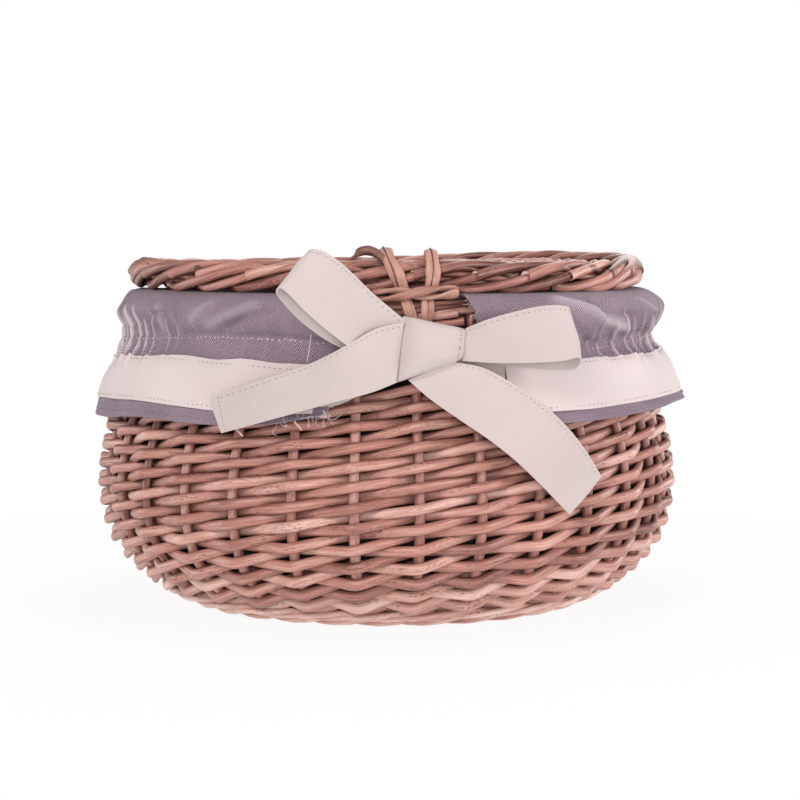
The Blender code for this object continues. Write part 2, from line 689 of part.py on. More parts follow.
def bow_loop(name, sign, length, degrees, out, width_in, width_out):
    """A loop of ribbon: out from the knot in front, round, and back behind."""
    a = math.radians(degrees)
    d = Vector((sign * math.cos(a), 0, math.sin(a)))
    across = Vector((-sign * math.sin(a), 0, math.cos(a)))
    start = Vector((KNOT_X, 0, KNOT_Z)) + d * (KNOT_W / 2 + FIT)
    y0 = KNOT_BACK + KNOT_T * 0.62
    y1 = KNOT_BACK + out
    y2 = y1 - 2 * LOOP_TURN
    path, wide = [], []
    for t in (0.0, 0.25, 0.55, 0.85):
        y = y0 + (y1 - y0) * math.sin(math.pi / 2 * min(1, t / 0.85))
        path.append(start + d * (length * t) + Vector((0, -y, 0)))
        wide.append(width_in + (width_out - width_in) * t)
    for b in (-45, 0, 45):
        b = math.radians(b)
        path.append(start + d * (length * 0.90 + LOOP_TURN * math.cos(b) )
                    + Vector((0, -(y1 - LOOP_TURN) + LOOP_TURN * math.sin(b), 0)))
        wide.append(width_out)
    y3 = KNOT_BACK + KNOT_T * 0.30
    for t in (0.85, 0.55, 0.25, 0.0):
        y = y3 + (y2 - y3) * math.sin(math.pi / 2 * min(1, t / 0.85))
        path.append(start + d * (length * t) + Vector((0, -y, 0)))
        wide.append(width_in + (width_out - width_in) * t)
    return ribbon(name, path, [across] * len(path), wide, RIBBON_T)


bow_loop("bow_loop_left", -1, LOOP_LEFT_L, LOOP_LEFT_DEG, LOOP_LEFT_OUT,
         RIBBON_W * 0.8, RIBBON_W * 1.1)
bow_loop("bow_loop_right", 1, LOOP_RIGHT_L, LOOP_RIGHT_DEG, LOOP_RIGHT_OUT,
         RIBBON_W * 0.8, RIBBON_W * 1.1)


def outside_r(x, z, off):
    """Radius just outside cloth, band and siding at height z, x from the middle."""
    a = math.asin(max(-1.0, min(1.0, x / PUFF_R)))
    hem = HEM_Z + tilt(HEM_Z, a)
    under_hem = max(0.0, hem - z)
    cloth = skirt_r(max(z, hem), BAND_OFF + BAND_T + FIT, a) - under_hem ** 2 / RIBBON_W
    willow = wall(s_at_height(z), ROD_OFF + ROD_W / 2)[0] + FIT
    return max(cloth, willow) + off


def tail(name, x0, z0, x1, z1, steps, sag):
    """A tail of the bow, hung over the cuff and the wall: both edges and the
    middle lie TAIL_OFF outside what is under them."""
    flat = Vector((x1 - x0, 0, z1 - z0)).normalized()
    side = Vector((-flat.z, 0, flat.x))
    rings = []
    for i in range(steps + 1):
        t = i / steps
        x = x0 + (x1 - x0) * t
        z = z0 + (z1 - z0) * t - sag * math.sin(math.pi * t)
        half = RIBBON_W / 2 * (0.8 + 0.2 * min(1, t * 4))
        near = max(0.0, 1 - t / TAIL_DROP_SHARE)
        ring = []
        for lift, order in ((TAIL_OFF, (1, 0, -1)), (TAIL_OFF + RIBBON_T, (-1, 0, 1))):
            for k in order:
                px, pz = x + side.x * half * k, z + side.z * half * k
                r = outside_r(px, pz, lift)
                r += max(0.0, KNOT_BACK + KNOT_T / 2 + lift - r) * near
                ring.append(Vector((px, -math.sqrt(r * r - px * px), pz)))
        rings.append(ring)
    return add(name, loft(name, rings), RIBBON)


tail("bow_tail_left", KNOT_X - KNOT_W / 2 - FIT, KNOT_Z - KNOT_H * 0.38, TAIL_LEFT_X,
     TAIL_LEFT_Z, 9, 0.0)
tail("bow_tail_right", KNOT_X + KNOT_W * 0.22, KNOT_Z - KNOT_H / 2 - RIBBON_W * 0.29,
     TAIL_RIGHT_X, TAIL_RIGHT_Z, 9, 0.0)


def tie(name, sign, band_deg, z0, z1):
    """The ribbon between the casing's end and the knot, over the cuff's edge."""
    a = sign * math.radians(band_deg)
    z0 += tilt(z0, a)
    x0 = skirt_r(z0, 0.0, a) * math.sin(a) - sign * 5 * FIT
    x1 = KNOT_X + sign * KNOT_W * 0.36
    rings = []
    for i in range(5):
        t = i / 4
        x, z = x0 + (x1 - x0) * t, z0 + (z1 - z0) * t
        half = RIBBON_W / 2 * (1 - 0.45 * t)
        back = KNOT_BACK - TIE_BACK
        ring = []
        for lift, order in ((0.0, (1, 0, -1)), (RIBBON_T, (-1, 0, 1))):
            for k in order:
                pz = z + half * k
                side_a = math.asin(x / SEAM_R)
                r = (skirt_r(pz, BAND_OFF, side_a) if pz < SEAM_Z + tilt(SEAM_Z, side_a)
                     else SEAM_R + ELASTIC_OFF)
                y0 = math.sqrt(r * r - x * x)
                y = y0 + (back - y0) * t ** 2 + lift
                ring.append(Vector((x, -y, pz)))
        rings.append(ring)
    return add(name, loft(name, rings), RIBBON)


tie("ribbon_tie_left", -1, BAND_LEFT_DEG, (BAND_TOP_Z + BAND_BOTTOM_Z) / 2, KNOT_Z - KNOT_H * 0.2)
tie("ribbon_tie_right", 1, BAND_RIGHT_DEG, (BAND_TOP_Z + BAND_BOTTOM_Z) / 2, KNOT_Z - KNOT_H * 0.2)
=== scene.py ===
# %% [markdown]
# A willow knitting basket with a lid, a turned-out cloth lining and a ribbon bow.
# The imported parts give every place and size; this script makes what they look like:
# each rod, strand and sheet of cloth as its own surface, with its own finish.

# %% Start
import math

import bpy
import numpy as np
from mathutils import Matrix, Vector


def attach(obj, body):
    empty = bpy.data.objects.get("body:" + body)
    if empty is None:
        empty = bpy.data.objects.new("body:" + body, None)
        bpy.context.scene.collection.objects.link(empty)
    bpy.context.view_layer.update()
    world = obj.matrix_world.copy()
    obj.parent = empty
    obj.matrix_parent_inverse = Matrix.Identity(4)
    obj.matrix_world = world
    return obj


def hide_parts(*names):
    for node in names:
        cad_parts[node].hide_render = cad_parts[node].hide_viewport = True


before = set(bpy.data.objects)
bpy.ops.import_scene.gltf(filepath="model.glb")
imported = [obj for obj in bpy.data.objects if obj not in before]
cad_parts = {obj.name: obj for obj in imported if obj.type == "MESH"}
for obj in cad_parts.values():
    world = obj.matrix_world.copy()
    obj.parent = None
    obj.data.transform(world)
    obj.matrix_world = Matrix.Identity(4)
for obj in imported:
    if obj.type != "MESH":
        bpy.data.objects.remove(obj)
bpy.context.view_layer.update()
rng = np.random.default_rng(7)
TURN = 2 * math.pi

# %% [markdown]
# Sizes in metres, measured from the basket's own axis. A buff-willow basket of this kind
# has stakes and siding rods of 5 to 6 mm, thirty of each, so that every stake gets a rod
# of its own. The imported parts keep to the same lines.

# %% Sizes
AXIS = np.array([0.0, 0.0090, 0.0])      # the basket's axis
COUNT = 30                               # stakes, and rods of the siding
STEP = TURN / COUNT
FRONT = -math.pi / 2
BELLY_R, BELLY_Z = 0.1706, 0.0750
BASE_R, BASE_Z = 0.1180, 0.0118
RIM_R, RIM_Z = 0.1505, 0.1788
STAKE_IN_R = 0.1085
STAKE_D, STAKE_TIP_D = 0.0056, 0.0047
ROD_D = 0.0060
ROW_PITCH = 0.0109                       # two strokes, one before and one behind a stake
SIDING_S = 0.0086                        # where the siding starts along the stakes
STROKES = 28
LID_R, LID_Z = 0.1480, 0.1995
RIM_STRAND_D, LID_STRAND_D = 0.0043, 0.0057
FOOT_R = 0.1222
LOWER = ((0.0, 0.0), (0.19, 0.01), (0.48, 0.11), (0.63, 0.23), (0.82, 0.41),
         (0.91, 0.57), (0.97, 0.74), (1.0, 1.0))
UPPER = ((0.07, 0.14), (0.24, 0.29), (0.49, 0.46), (0.74, 0.72), (1.0, 1.0))
print(COUNT, "stakes, widest", round(BELLY_R * 2000), "mm, rim", round(RIM_R * 2000), "mm")

# %% [markdown]
# Colours are given as they look on screen and turned into the linear values that the
# renderer works with, in this one function.

# %% Colour
def linear(code):
    """A six-digit screen colour as linear red, green, blue and alpha: below 0.04045 a
    channel is divided by 12.92, above it ((c + 0.055) / 1.055) is raised to 2.4."""
    c = np.array([int(code[i:i + 2], 16) / 255 for i in (0, 2, 4)])
    return (*np.where(c <= 0.04045, c / 12.92, ((c + 0.055) / 1.055) ** 2.4).tolist(), 1.0)

# %% [markdown]
# A few small helpers add nodes to a material, set their values and join their inputs,
# so that each finish below reads as a short recipe.

# %% Nodes
def node(tree, kind, settings=None, **inputs):
    """Adds a node. settings are its own properties; inputs are values or sockets, with
    spaces in a socket's name written as underscores and a number written as n0, n1."""
    n = tree.nodes.new("ShaderNode" + kind)
    for key, value in (settings or {}).items():
        setattr(n, key, value)
    for key, value in inputs.items():
        name = int(key[1:]) if key[0] == "n" and key[1:].isdigit() else key.replace("_", " ")
        if isinstance(value, bpy.types.NodeSocket):
            tree.links.new(value, n.inputs[name])
        else:
            n.inputs[name].default_value = value
    return n


def maths(tree, operation, *values, clamp=False):
    """One step of arithmetic on numbers or sockets."""
    settings = {"operation": operation, "use_clamp": clamp}
    return node(tree, "Math", settings, **{f"n{k}": v for k, v in enumerate(values)}).outputs[0]


def attribute(tree, name, output="Fac"):
    return node(tree, "Attribute", {"attribute_name": name}).outputs[output]


def noise(tree, where, stretch=None, **settings):
    """Noise at a place, whose three directions may each be stretched."""
    if stretch:
        where = node(tree, "VectorMath", {"operation": "MULTIPLY"}, n0=where, n1=stretch).outputs[0]
        settings["Scale"] = 1.0
    return node(tree, "TexNoise", Vector=where, **settings).outputs["Fac"]


def mix(tree, share, one, other):
    return node(tree, "Mix", {"data_type": "RGBA"}, n0=share, n6=one, n7=other).outputs[2]


def ramp(tree, factor, stops):
    """A colour ramp over factor, from (place, screen colour) pairs."""
    n = node(tree, "ValToRGB", Fac=factor)
    e = n.color_ramp.elements
    while len(e) < len(stops):
        e.new(0.5)
    for stop, (at, code) in zip(e, stops):
        stop.position, stop.color = at, linear(code)
    return n.outputs["Color"]


def blank(name):
    """A new material with no nodes yet, and its node tree."""
    m = bpy.data.materials.new(name)
    m.use_nodes = True
    m.node_tree.nodes.clear()
    return m, m.node_tree


def close(tree, **inputs):
    """Ends a recipe: a principled surface joined to the output."""
    surface = node(tree, "BsdfPrincipled", **inputs)
    node(tree, "OutputMaterial", Surface=surface.outputs[0])

# %% [markdown]
# Buff willow is boiled with its bark on, so the tannin colours the rod, and it is then
# stripped. What is left is a warm, pinkish brown with a dull silk shine, fine streaks
# along the rod, darker freckles and now and then a bud scar. No two rods match. The
# recipe reads three things that each rod carries: its place in the straight rod before
# bending, its tone, which holds its own colour together with painted shade and painted
# light, and how near a point is to the middle of a cut end.

# %% Willow finish
def willow(name, dark, mid, light, cut, rough, freckle):
    m, t = blank(name)
    own, tone, core = attribute(t, "rod", "Vector"), attribute(t, "tone"), attribute(t, "core")
    streak = noise(t, own, (1250.0, 1250.0, 60.0), Detail=5.0, Roughness=0.62)
    cloud = noise(t, own, (160.0, 160.0, 30.0), Detail=3.0)
    dots = noise(t, own, (1500.0, 1500.0, 430.0), Detail=3.0, Roughness=0.6)
    zone = noise(t, own, (210.0, 210.0, 38.0), Detail=1.0)
    streaks = maths(t, "MULTIPLY_ADD", streak, 0.72, -0.36)
    clouds = maths(t, "MULTIPLY_ADD", cloud, 0.36, -0.18)
    # tone brings the rod's own colour with painted shade and painted light mixed in
    shade = maths(t, "ADD", maths(t, "ADD", streaks, clouds), tone, clamp=True)
    skin = ramp(t, shade, [(0.0, dark), (0.34, mid), (0.72, light), (1.0, cut)])
    worn = ramp(t, zone, [(0.0, "000000"), (0.50, "202020"), (0.66, "ffffff"), (1.0, "ffffff")])
    fleck = ramp(t, dots, [(0.0, "000000"), (0.53, "000000"), (0.60, "ffffff"), (1.0, "ffffff")])
    much = maths(t, "MULTIPLY", maths(t, "MULTIPLY", fleck, worn), freckle)
    pith = ramp(t, core, [(0.0, mid), (0.10, light), (0.80, cut), (1.0, mid)])
    colour = mix(t, maths(t, "GREATER_THAN", core, 0.004), mix(t, much, skin, linear(dark)), pith)
    bump = node(t, "Bump", Strength=0.55, Distance=0.00022, Height=streak)
    close(t, Base_Color=colour, Roughness=maths(t, "MULTIPLY_ADD", cloud, 0.24, rough - 0.14),
          Normal=bump.outputs[0], Specular_IOR_Level=0.42)
    return m


BUFF = willow("buff_willow", "502A25", "B27C6E", "E5BFB1", "F6E3DA", 0.40, 0.70)
SPLIT = willow("split_willow", "4E2E28", "A97A6A", "D2A898", "E8CDC0", 0.50, 0.60)
print("willow finishes made")

# %% [markdown]
# Every rod is a tube swept along a line. Its section can be oval, and both sizes may
# change along it. The tube keeps its own straight coordinates, so the streaks follow
# the bends. A cut end is a low cone of triangles about the pith. A curve with a bevel is
# quicker to set up, but it has no such coordinates and no cut ends.

# %% Rods
def unit(v):
    return v / np.linalg.norm(v, axis=-1, keepdims=True)


def lengths(line):
    """How far each point of a line is along it."""
    return np.concatenate([[0.0], np.cumsum(np.linalg.norm(np.diff(line, axis=0), axis=1))])


def cells(n, m, closed=True, ring=False):
    """Faces of a grid of n rows of m points, closed along its rows or round its rows."""
    i, j = np.arange(n if ring else n - 1)[:, None] * m, np.arange(m if closed else m - 1)
    up, nxt = (i + m) % (n * m), (j + 1) % m
    return np.stack([i + j, i + nxt, up + nxt, up + j], -1).reshape(-1, 4)


def caps(n, m):
    """Fans of triangles that close a tube's ends, about the two points after its grid."""
    j, last = np.arange(m), (n - 1) * m
    nxt = (j + 1) % m
    return np.vstack([np.stack([nxt, j, np.full(m, n * m)], -1),
                      np.stack([last + j, last + nxt, np.full(m, n * m + 1)], -1)])


def tube(path, out, wide, high, tone, sides=10, ring=False, cut=0.0, painted_shade=0.0):
    """One rod: its points, faces and what its finish reads. Point j of the ring about a
    point of path is that point + wide cos(t) A + high sin(t) B, with t = 2 pi j / sides
    and A as near out as it can be. Where cut is given, its first end is cut slanting,
    further back by cut on the side that faces out. The last argument paints shade: the
    colour is made darker away from the outer side, most where it faces in, where it lies against
    others."""
    n, t = len(path), np.arange(sides) * TURN / sides
    along = unit(np.roll(path, -1, 0) - np.roll(path, 1, 0) if ring else np.gradient(path, axis=0))
    b = unit(np.cross(along, out))
    a = np.cross(b, along)
    w = np.broadcast_to(wide, n)[:, None] * np.cos(t)
    h = np.broadcast_to(high, n)[:, None] * np.sin(t)
    grid = path[:, None] + w[..., None] * a[:, None] + h[..., None] * b[:, None]
    way = unit(path[1] - path[0])
    grid[0] += way * (cut * (1 + np.cos(t)) / 2)[:, None]
    length = lengths(path)
    own = np.stack([w, h, np.broadcast_to(length[:, None], w.shape)], -1).reshape(-1, 3)
    points, core, faces = grid.reshape(-1, 3), np.zeros(n * sides), [cells(n, sides, ring=ring)]
    tones = np.broadcast_to(tone, n)
    # painted shade: darker on the sides of each ring that face away from out
    shades = (tones[:, None] - painted_shade * ((1 - np.cos(t)) / 2) ** 1.25).ravel()
    if not ring:
        points = np.vstack([points, path[:1] + way * cut / 2, path[-1:]])
        own = np.vstack([own, [[0, 0, 0], [0, 0, length[-1]]]])
        core, shades = np.append(core, [1.0, 1.0]), np.append(shades, tones[[0, -1]])
        faces.append(caps(n, sides))
    return points, faces, own + rng.uniform(-3, 3, 3), shades, core

# %% Objects
def mesh_of(name, points, faces, material, sharp=None, **values):
    """A mesh of points, placed about the basket's axis. faces are arrays of rows of three
    or four corners; values are what its finish reads at each point."""
    me = bpy.data.meshes.new(name)
    corners = np.concatenate([np.full(len(f), f.shape[1]) for f in faces]).astype(np.int32)
    me.vertices.add(len(points))
    me.vertices.foreach_set("co", (points + AXIS).ravel())
    me.loops.add(int(corners.sum()))
    me.loops.foreach_set("vertex_index", np.concatenate([f.ravel() for f in faces]).astype(np.int32))
    me.polygons.add(len(corners))
    me.polygons.foreach_set("loop_start", (np.cumsum(corners) - corners).astype(np.int32))
    me.polygons.foreach_set("loop_total", corners)
    me.update(calc_edges=True)
    for key, value in values.items():
        kind, field = ("FLOAT", "value") if value.ndim == 1 else ("FLOAT_VECTOR", "vector")
        me.attributes.new(key, kind, "POINT").data.foreach_set(field, value.ravel())
    me.shade_smooth()
    if sharp:
        me.set_sharp_from_angle(angle=math.radians(sharp))
    me.materials.append(material)
    return me


def put(mesh, body, stands_for):
    """Puts a mesh in the scene, on the body that it rides on."""
    o = bpy.data.objects.new(mesh.name, mesh)
    bpy.context.scene.collection.objects.link(o)
    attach(o, body)
    if stands_for:
        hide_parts(*stands_for)
    return o


def rods_object(name, rods, material, body, stands_for):
    """Joins rods from tube() in one object."""
    first = np.concatenate([[0], np.cumsum([len(rod[0]) for rod in rods])])
    faces = [f + k for rod, k in zip(rods, first) for f in rod[1]]
    points, own, tone, core = (np.concatenate([rod[k] for rod in rods]) for k in (0, 2, 3, 4))
    me = mesh_of(name, points, faces, material, 50, rod=own, tone=tone, core=core)
    return put(me, body, stands_for)


def waves(x, count, least, most):
    """A soft random curve over x: a sum of sines with random lengths and phases, about
    zero and of height near one."""
    f = rng.uniform(least, most, count)[:, None]
    p = rng.uniform(0, TURN, count)[:, None]
    return np.sin(TURN * f * x[None] + p).sum(0) / math.sqrt(count)

# %% [markdown]
# The stakes give the basket its shape: flat under the base, out to a round belly, in
# again to the rim. The line runs through a few shares of the way from base to belly and
# from belly to rim, and everything on the wall is placed along it.

# %% The wall's line
def mm(values):
    return np.array(values, float) / 1000


def spline(points, steps=24):
    """A smooth line through points (Catmull-Rom), with steps pieces between two."""
    p = np.array(points, float)
    p = np.vstack([2 * p[:1] - p[1:2], p, 2 * p[-1:] - p[-2:-1]])
    t = (np.arange(steps) / steps)[None, :, None]
    a, b, c, d = (p[i:len(p) - 3 + i, None] for i in range(4))
    body = 0.5 * (2 * b + (c - a) * t + (2 * a - 5 * b + 4 * c - d) * t ** 2
                  + (3 * b - 3 * c + d - a) * t ** 3)
    return np.vstack([body.reshape(-1, p.shape[1]), p[-2]])


def arc_of(line):
    return np.concatenate([[0.0], np.cumsum(np.hypot(*np.diff(line, axis=0).T))])


def part_way(a, b, share):
    return a + (b - a) * share


def on_line(s, arc, line, slope):
    """Radius, height and their slopes at arc length s of a line."""
    return (np.interp(s, arc, column) for column in (*line.T, *slope.T))


LINE = spline([(STAKE_IN_R, BASE_Z)]
              + [(part_way(BASE_R, BELLY_R, a), part_way(BASE_Z, BELLY_Z, b)) for a, b in LOWER]
              + [(part_way(BELLY_R, RIM_R, a), part_way(BELLY_Z, RIM_Z, b)) for a, b in UPPER])
ARC = arc_of(LINE)
LOW = LINE[:2 * 24]                      # the flat stretch under the base
ARC -= np.interp(BASE_R, LOW[:, 0], ARC[:len(LOW)])
SLOPE = unit(np.gradient(LINE, ARC, axis=0))


def wall(s, off=0.0, up=0.0):
    """Radius and height at arc length s of the line, moved off outwards and up along it."""
    r, z, tr, tz = on_line(s, ARC, LINE, SLOPE)
    return r + off * tz + up * tr, z - off * tr + up * tz


def place(r, angle, z):
    """Points at radius r, angle and height z about the axis."""
    r, angle, z = np.broadcast_arrays(r, angle, z)
    return np.stack([r * np.cos(angle), r * np.sin(angle), z], -1)


def s_at(z):
    """Arc length at which the wall stands at height z."""
    k = LINE[:, 1] > BASE_Z + 0.0003
    return float(np.interp(z, LINE[k, 1], ARC[k]))


UP = np.array([0.0, 0.0, 1.0])
print("stake line", round(ARC[-1] * 1000, 1), "mm from base to rim")

# %% [markdown]
# The siding is French randing: thirty rods of one length, each started one stake on from
# the last, laid behind its first stake, before the next, and so on, half a row higher at
# each stake. That gives the slanting strokes. One rod copied round thirty times would
# look stamped, so each is made for itself, thicker at its butt than at its tip, with a
# tone of its own and a little waviness.

# %% Siding
def siding_rod(k):
    u = np.linspace(-0.36, STROKES - 1 + 0.36, 330)
    share = np.clip(u / (STROKES - 1), 0, 1)
    thick = ROD_D * (1.03 - 0.15 * share) * (1 + 0.022 * waves(u, 4, 0.1, 0.7))
    # the rods are beaten down hard, so they press into each other and the stakes, most
    # of all at the bottom; between the stakes they run nearly straight
    swing = (STAKE_D + ROD_D) / 2 - 0.0006 - 0.0010 * np.clip(1 - u / 9, 0, 1)
    x = math.pi * u
    lean = (np.cos(x) + 0.11 * np.cos(3 * x) + 0.03 * np.cos(5 * x)) / 1.14
    off = -swing * lean + 0.00012 * waves(u, 3, 0.2, 0.9)
    s = SIDING_S + u * ROW_PITCH / 2 + 0.00034 * waves(u, 5, 0.12, 0.55)
    r, z = wall(s, off)
    angle = FRONT + (u + k) * STEP + 0.004 * waves(u, 3, 0.1, 0.4)
    # painted light: the lowest nine strokes are lighter, by up to 0.12 at the bottom, for light from
    # the floor below
    tone = (0.38 + rng.normal(0, 0.075) + 0.045 * waves(u, 3, 0.02, 0.16)
            + 0.12 * np.clip(1 - u / 9, 0, 1))
    # before and behind a stake a rod stands full, between two it is pressed by the next
    full = 1 - 0.06 * np.sin(x) ** 2
    # the last argument paints shade on the sides that face in
    return tube(place(r, angle, z), place(1, angle, 0), thick / 2 * 0.82, thick / 2 * 1.10 * full,
                tone, sides=12, painted_shade=0.56)


for k in range(COUNT):
    rods_object(f"siding_rod_{k + 1:02d}", [siding_rod(k)], BUFF, "basket",
                [f"weaver_{k + 1:02d}"])
print("siding:", COUNT, "rods of", STROKES, "strokes")

# %% [markdown]
# The stakes are straight thicker rods pushed into the base beside its sticks and bent up
# at the edge. Between the slanting strokes each shows as a short upright length. Their
# tops are laid down in turn and woven into the rim's border, so the two are one piece.

# %% Borders
def strand(radius, height, core_r, d, k, course, proud, tuck, spread=0.0, warp=None, slant=0.0):
    """One strand of a rolled border. Its course lists ring angles from its start and
    section angles (0 is outwards, 90 up), in degrees. It starts with a cut end standing
    proud, winds round the ring's core and ends tucked in under its neighbours."""
    f = np.linspace(0, 1, 96)
    ring_deg, section_deg = np.array(course, float).T
    turn = np.radians(ring_deg[-1]) * f
    raw = np.interp(np.degrees(turn), ring_deg, section_deg)
    padded = np.pad(raw, 5, mode="reflect", reflect_type="odd")
    soft = np.convolve(padded, np.ones(11) / 11, "valid")
    psi = np.radians(soft + spread * waves(f, 2, 0.4, 1.4))
    angle = FRONT + (k + rng.normal(0, 0.07)) * STEP + turn
    rho = (core_r + proud * np.exp(-f / 0.05) - tuck * np.clip((f - 0.86) / 0.14, 0, 1) ** 1.5
           + 0.00028 * waves(f, 3, 0.8, 3.0))
    r, z = radius + rho * np.cos(psi), height + rho * np.sin(psi)
    out = place(np.cos(psi), angle, np.sin(psi))
    thick = d * rng.normal(1.0, 0.05) * (1.04 - 0.16 * f)
    # painted light and shade: the strands are lighter on the right of the ring and darker on the left
    tone = 0.30 + 0.06 * np.sin(k * STEP) + rng.normal(0, 0.11) + 0.05 * waves(f, 2, 0.3, 1.2)
    path = place(r, angle, z)
    path = warp(path) if warp else path
    # the last argument paints shade on the sides that face in
    return tube(path, out, thick / 2, thick / 2, tone, sides=12, cut=slant, painted_shade=0.50)


def stake(k):
    s = np.append(np.linspace(ARC[0], SIDING_S, 10)[:-1], np.linspace(SIDING_S, ARC[-1], 46))
    d = STAKE_D + (STAKE_TIP_D - STAKE_D) * np.clip(s, 0, None) / ARC[-1]
    r, z, tr, tz = on_line(s, ARC, LINE, SLOPE)
    angle = FRONT + k * STEP + 0.0022 * waves(s / ARC[-1], 2, 0.5, 1.4) * np.clip(s / 0.03, 0, 1)
    tone = 0.36 + rng.normal(0, 0.06)
    # the beaten rods press a stake a little oval
    # the last argument paints shade on the sides that face in
    return tube(place(r, angle, z), place(tz, angle, -tr), d / 2, d / 2 * 1.16, tone,
                sides=12, painted_shade=0.30)


stakes = [stake(k) for k in range(COUNT)]
RIM_COURSE = ((0, -20), (10, 20), (30, 75), (55, 140), (80, 230))
rim = [strand(RIM_R, RIM_Z, 0.0053, RIM_STRAND_D, k, RIM_COURSE, 0.0002, 0.0010, 2.0)
       for k in range(COUNT)]
rods_object("stakes_and_rim_border", stakes + rim, BUFF, "basket", ["stakes_and_border"])
print("rim border strands:", len(rim))

# %% [markdown]
# The lid's edge is a wide rolled border: each of its thirty strands starts with a slanted
# cut end half way up the outside, winds over the top and down the inside and comes up
# again from below to end under the next cut end. Shorter strands come up between them on
# the outside, and a core of rods winds the other way inside.

# %% Lid border
def swell(a, at, wide):
    """A smooth rise round the ring, 1 at the angle at and wide to either side."""
    return np.exp(-(((a - at + math.pi) % TURN - math.pi) / wide) ** 2)


def lid_warp(path):
    """Lets the lid lie as it does, a little twisted: pressed down in front, more on the
    right, high at the far right and low at the far left and the back."""
    a = np.arctan2(path[:, 0], -path[:, 1])
    r = np.hypot(path[:, 0], path[:, 1]) / LID_R
    down = (0.0016 * swell(a, 0.75, 0.60) + 0.0010 * swell(a, -1.0, 0.50)
            + 0.0030 * swell(a, -2.45, 0.60) + 0.0030 * swell(a, math.pi - 0.10, 0.50))
    up = 0.0022 * np.clip(-np.cos(a + 0.75), 0, 1) ** 1.5
    return path + UP * ((up - down) * np.clip(r, 0, 1) ** 2)[:, None]


LID_COURSE = ((0, 6), (6, 40), (12, 70), (19, 96), (25, 124), (30, 160), (36, 205), (44, 262))
UNDER_COURSE = ((0, -76), (6, -46), (12, -14), (18, 20), (24, 48), (29, 66))
lid_strands = [strand(LID_R, LID_Z, 0.0068, LID_STRAND_D, k, LID_COURSE, 0.0012, 0.0020, 3.0,
                      lid_warp, 0.0050) for k in range(COUNT)]
lid_strands += [strand(LID_R, LID_Z, 0.0068, LID_STRAND_D * 0.97, k - 0.30, UNDER_COURSE, -0.0020,
                       0.0034, 4.0, lid_warp) for k in range(COUNT)]


def core_rod(k):
    f = np.linspace(0, 1, 40)
    psi = -f * TURN * 0.8 + k * 2.1
    angle = FRONT + k * STEP * 2 + f * STEP * 4
    out = place(np.cos(psi), angle, np.sin(psi))
    path = place(LID_R + 0.0030 * np.cos(psi), angle, LID_Z + 0.0030 * np.sin(psi))
    return tube(lid_warp(path), out, 0.0021, 0.0021, 0.22 + rng.normal(0, 0.05), sides=8)


rods_object("lid_rolled_border", lid_strands + [core_rod(k) for k in range(15)], BUFF, "lid",
            ["lid_border"])
print("lid border strands:", len(lid_strands))

# %% [markdown]
# Under the turned-up stakes lies a rope of three rods, on which the basket stands. Four
# rows of two twisted rods follow where the siding starts. Above it, under the cuff, rows
# of two rods cross between the stakes and lock the wall before the border.

# %% Foot and wales
def rope(radius, height, across, d, k, of, winds, tone):
    """Rod k of a rope laid round the axis: it circles the rope's middle winds times."""
    t = np.linspace(0, TURN, 720, endpoint=False)
    tone = tone + 0.10 * np.sin(winds * t + 2.4 * k) * np.sin(3 * t + k)
    phi = winds * t + k * TURN / of
    path = place(radius + across * np.cos(phi), FRONT + t, height + across * np.sin(phi))
    # the last argument paints shade on the sides that face in
    return tube(path, place(np.cos(phi), FRONT + t, np.sin(phi)), d / 2, d / 2, tone,
                sides=8, ring=True, painted_shade=0.40)


# painted light: the foot rope and the twisted rows above it have tones well above the siding's, for
# light from the floor below
foot = [rope(FOOT_R, 0.00475, 0.00235, 0.0047, k, 3, 10, 0.48 + 0.07 * k) for k in range(3)]
# the twisted rows above: way along the wall, distance from it, half its width, rod
FOOT_ROWS = ((0.0030, 0.0050, 0.0016, 0.0042), (0.0068, 0.0056, 0.0013, 0.0040),
             (0.0106, 0.0060, 0.0011, 0.0040), (0.0146, 0.0060, 0.0010, 0.0038))
for row, (s_row, off, rho, d) in enumerate(FOOT_ROWS):
    r_up, z_up = wall(s_row, off)
    foot += [rope(float(r_up), float(z_up), rho, d, j + row * 0.5, 2, 13, 0.60 + 0.1 * j)
             for j in range(2)]
rods_object("foot_rope", foot, BUFF, "basket", ["bottom_wale"])


def twined(z, side, tone):
    """One of two rods that cross between the stakes: outside every second stake."""
    u = np.arange(COUNT * 12) / 12
    s = s_at(z) + side * 0.0012 * np.sin(math.pi * u)
    r, zz = wall(s, side * 0.0034 * np.cos(math.pi * u))
    angle = FRONT + u * STEP
    return tube(place(r, angle, zz), place(1, angle, 0), 0.0018, 0.0022, tone,
                sides=8, ring=True)


wale = [twined(z, side, 0.34 + rng.normal(0, 0.07))
        for z in (0.1500, 0.1548, 0.1596, 0.1644, 0.1690) for side in (1, -1)]
rods_object("upper_wale", wale, BUFF, "basket", ["top_wale"])
print("foot rods", len(foot), "wale rods", len(wale))

# %% [markdown]
# Base and lid are woven alike, from a slath: a bundle of sticks laid over another
# crosswise, opened out like a fan, with two rods woven round, each over the sticks that
# the other goes under.

# %% Woven discs
DISC_STICKS, STICK_D = 26, 0.0044
SLATH_R, WEAVE_IN_R = 0.019, 0.0330      # where the fan of sticks and the weaving start


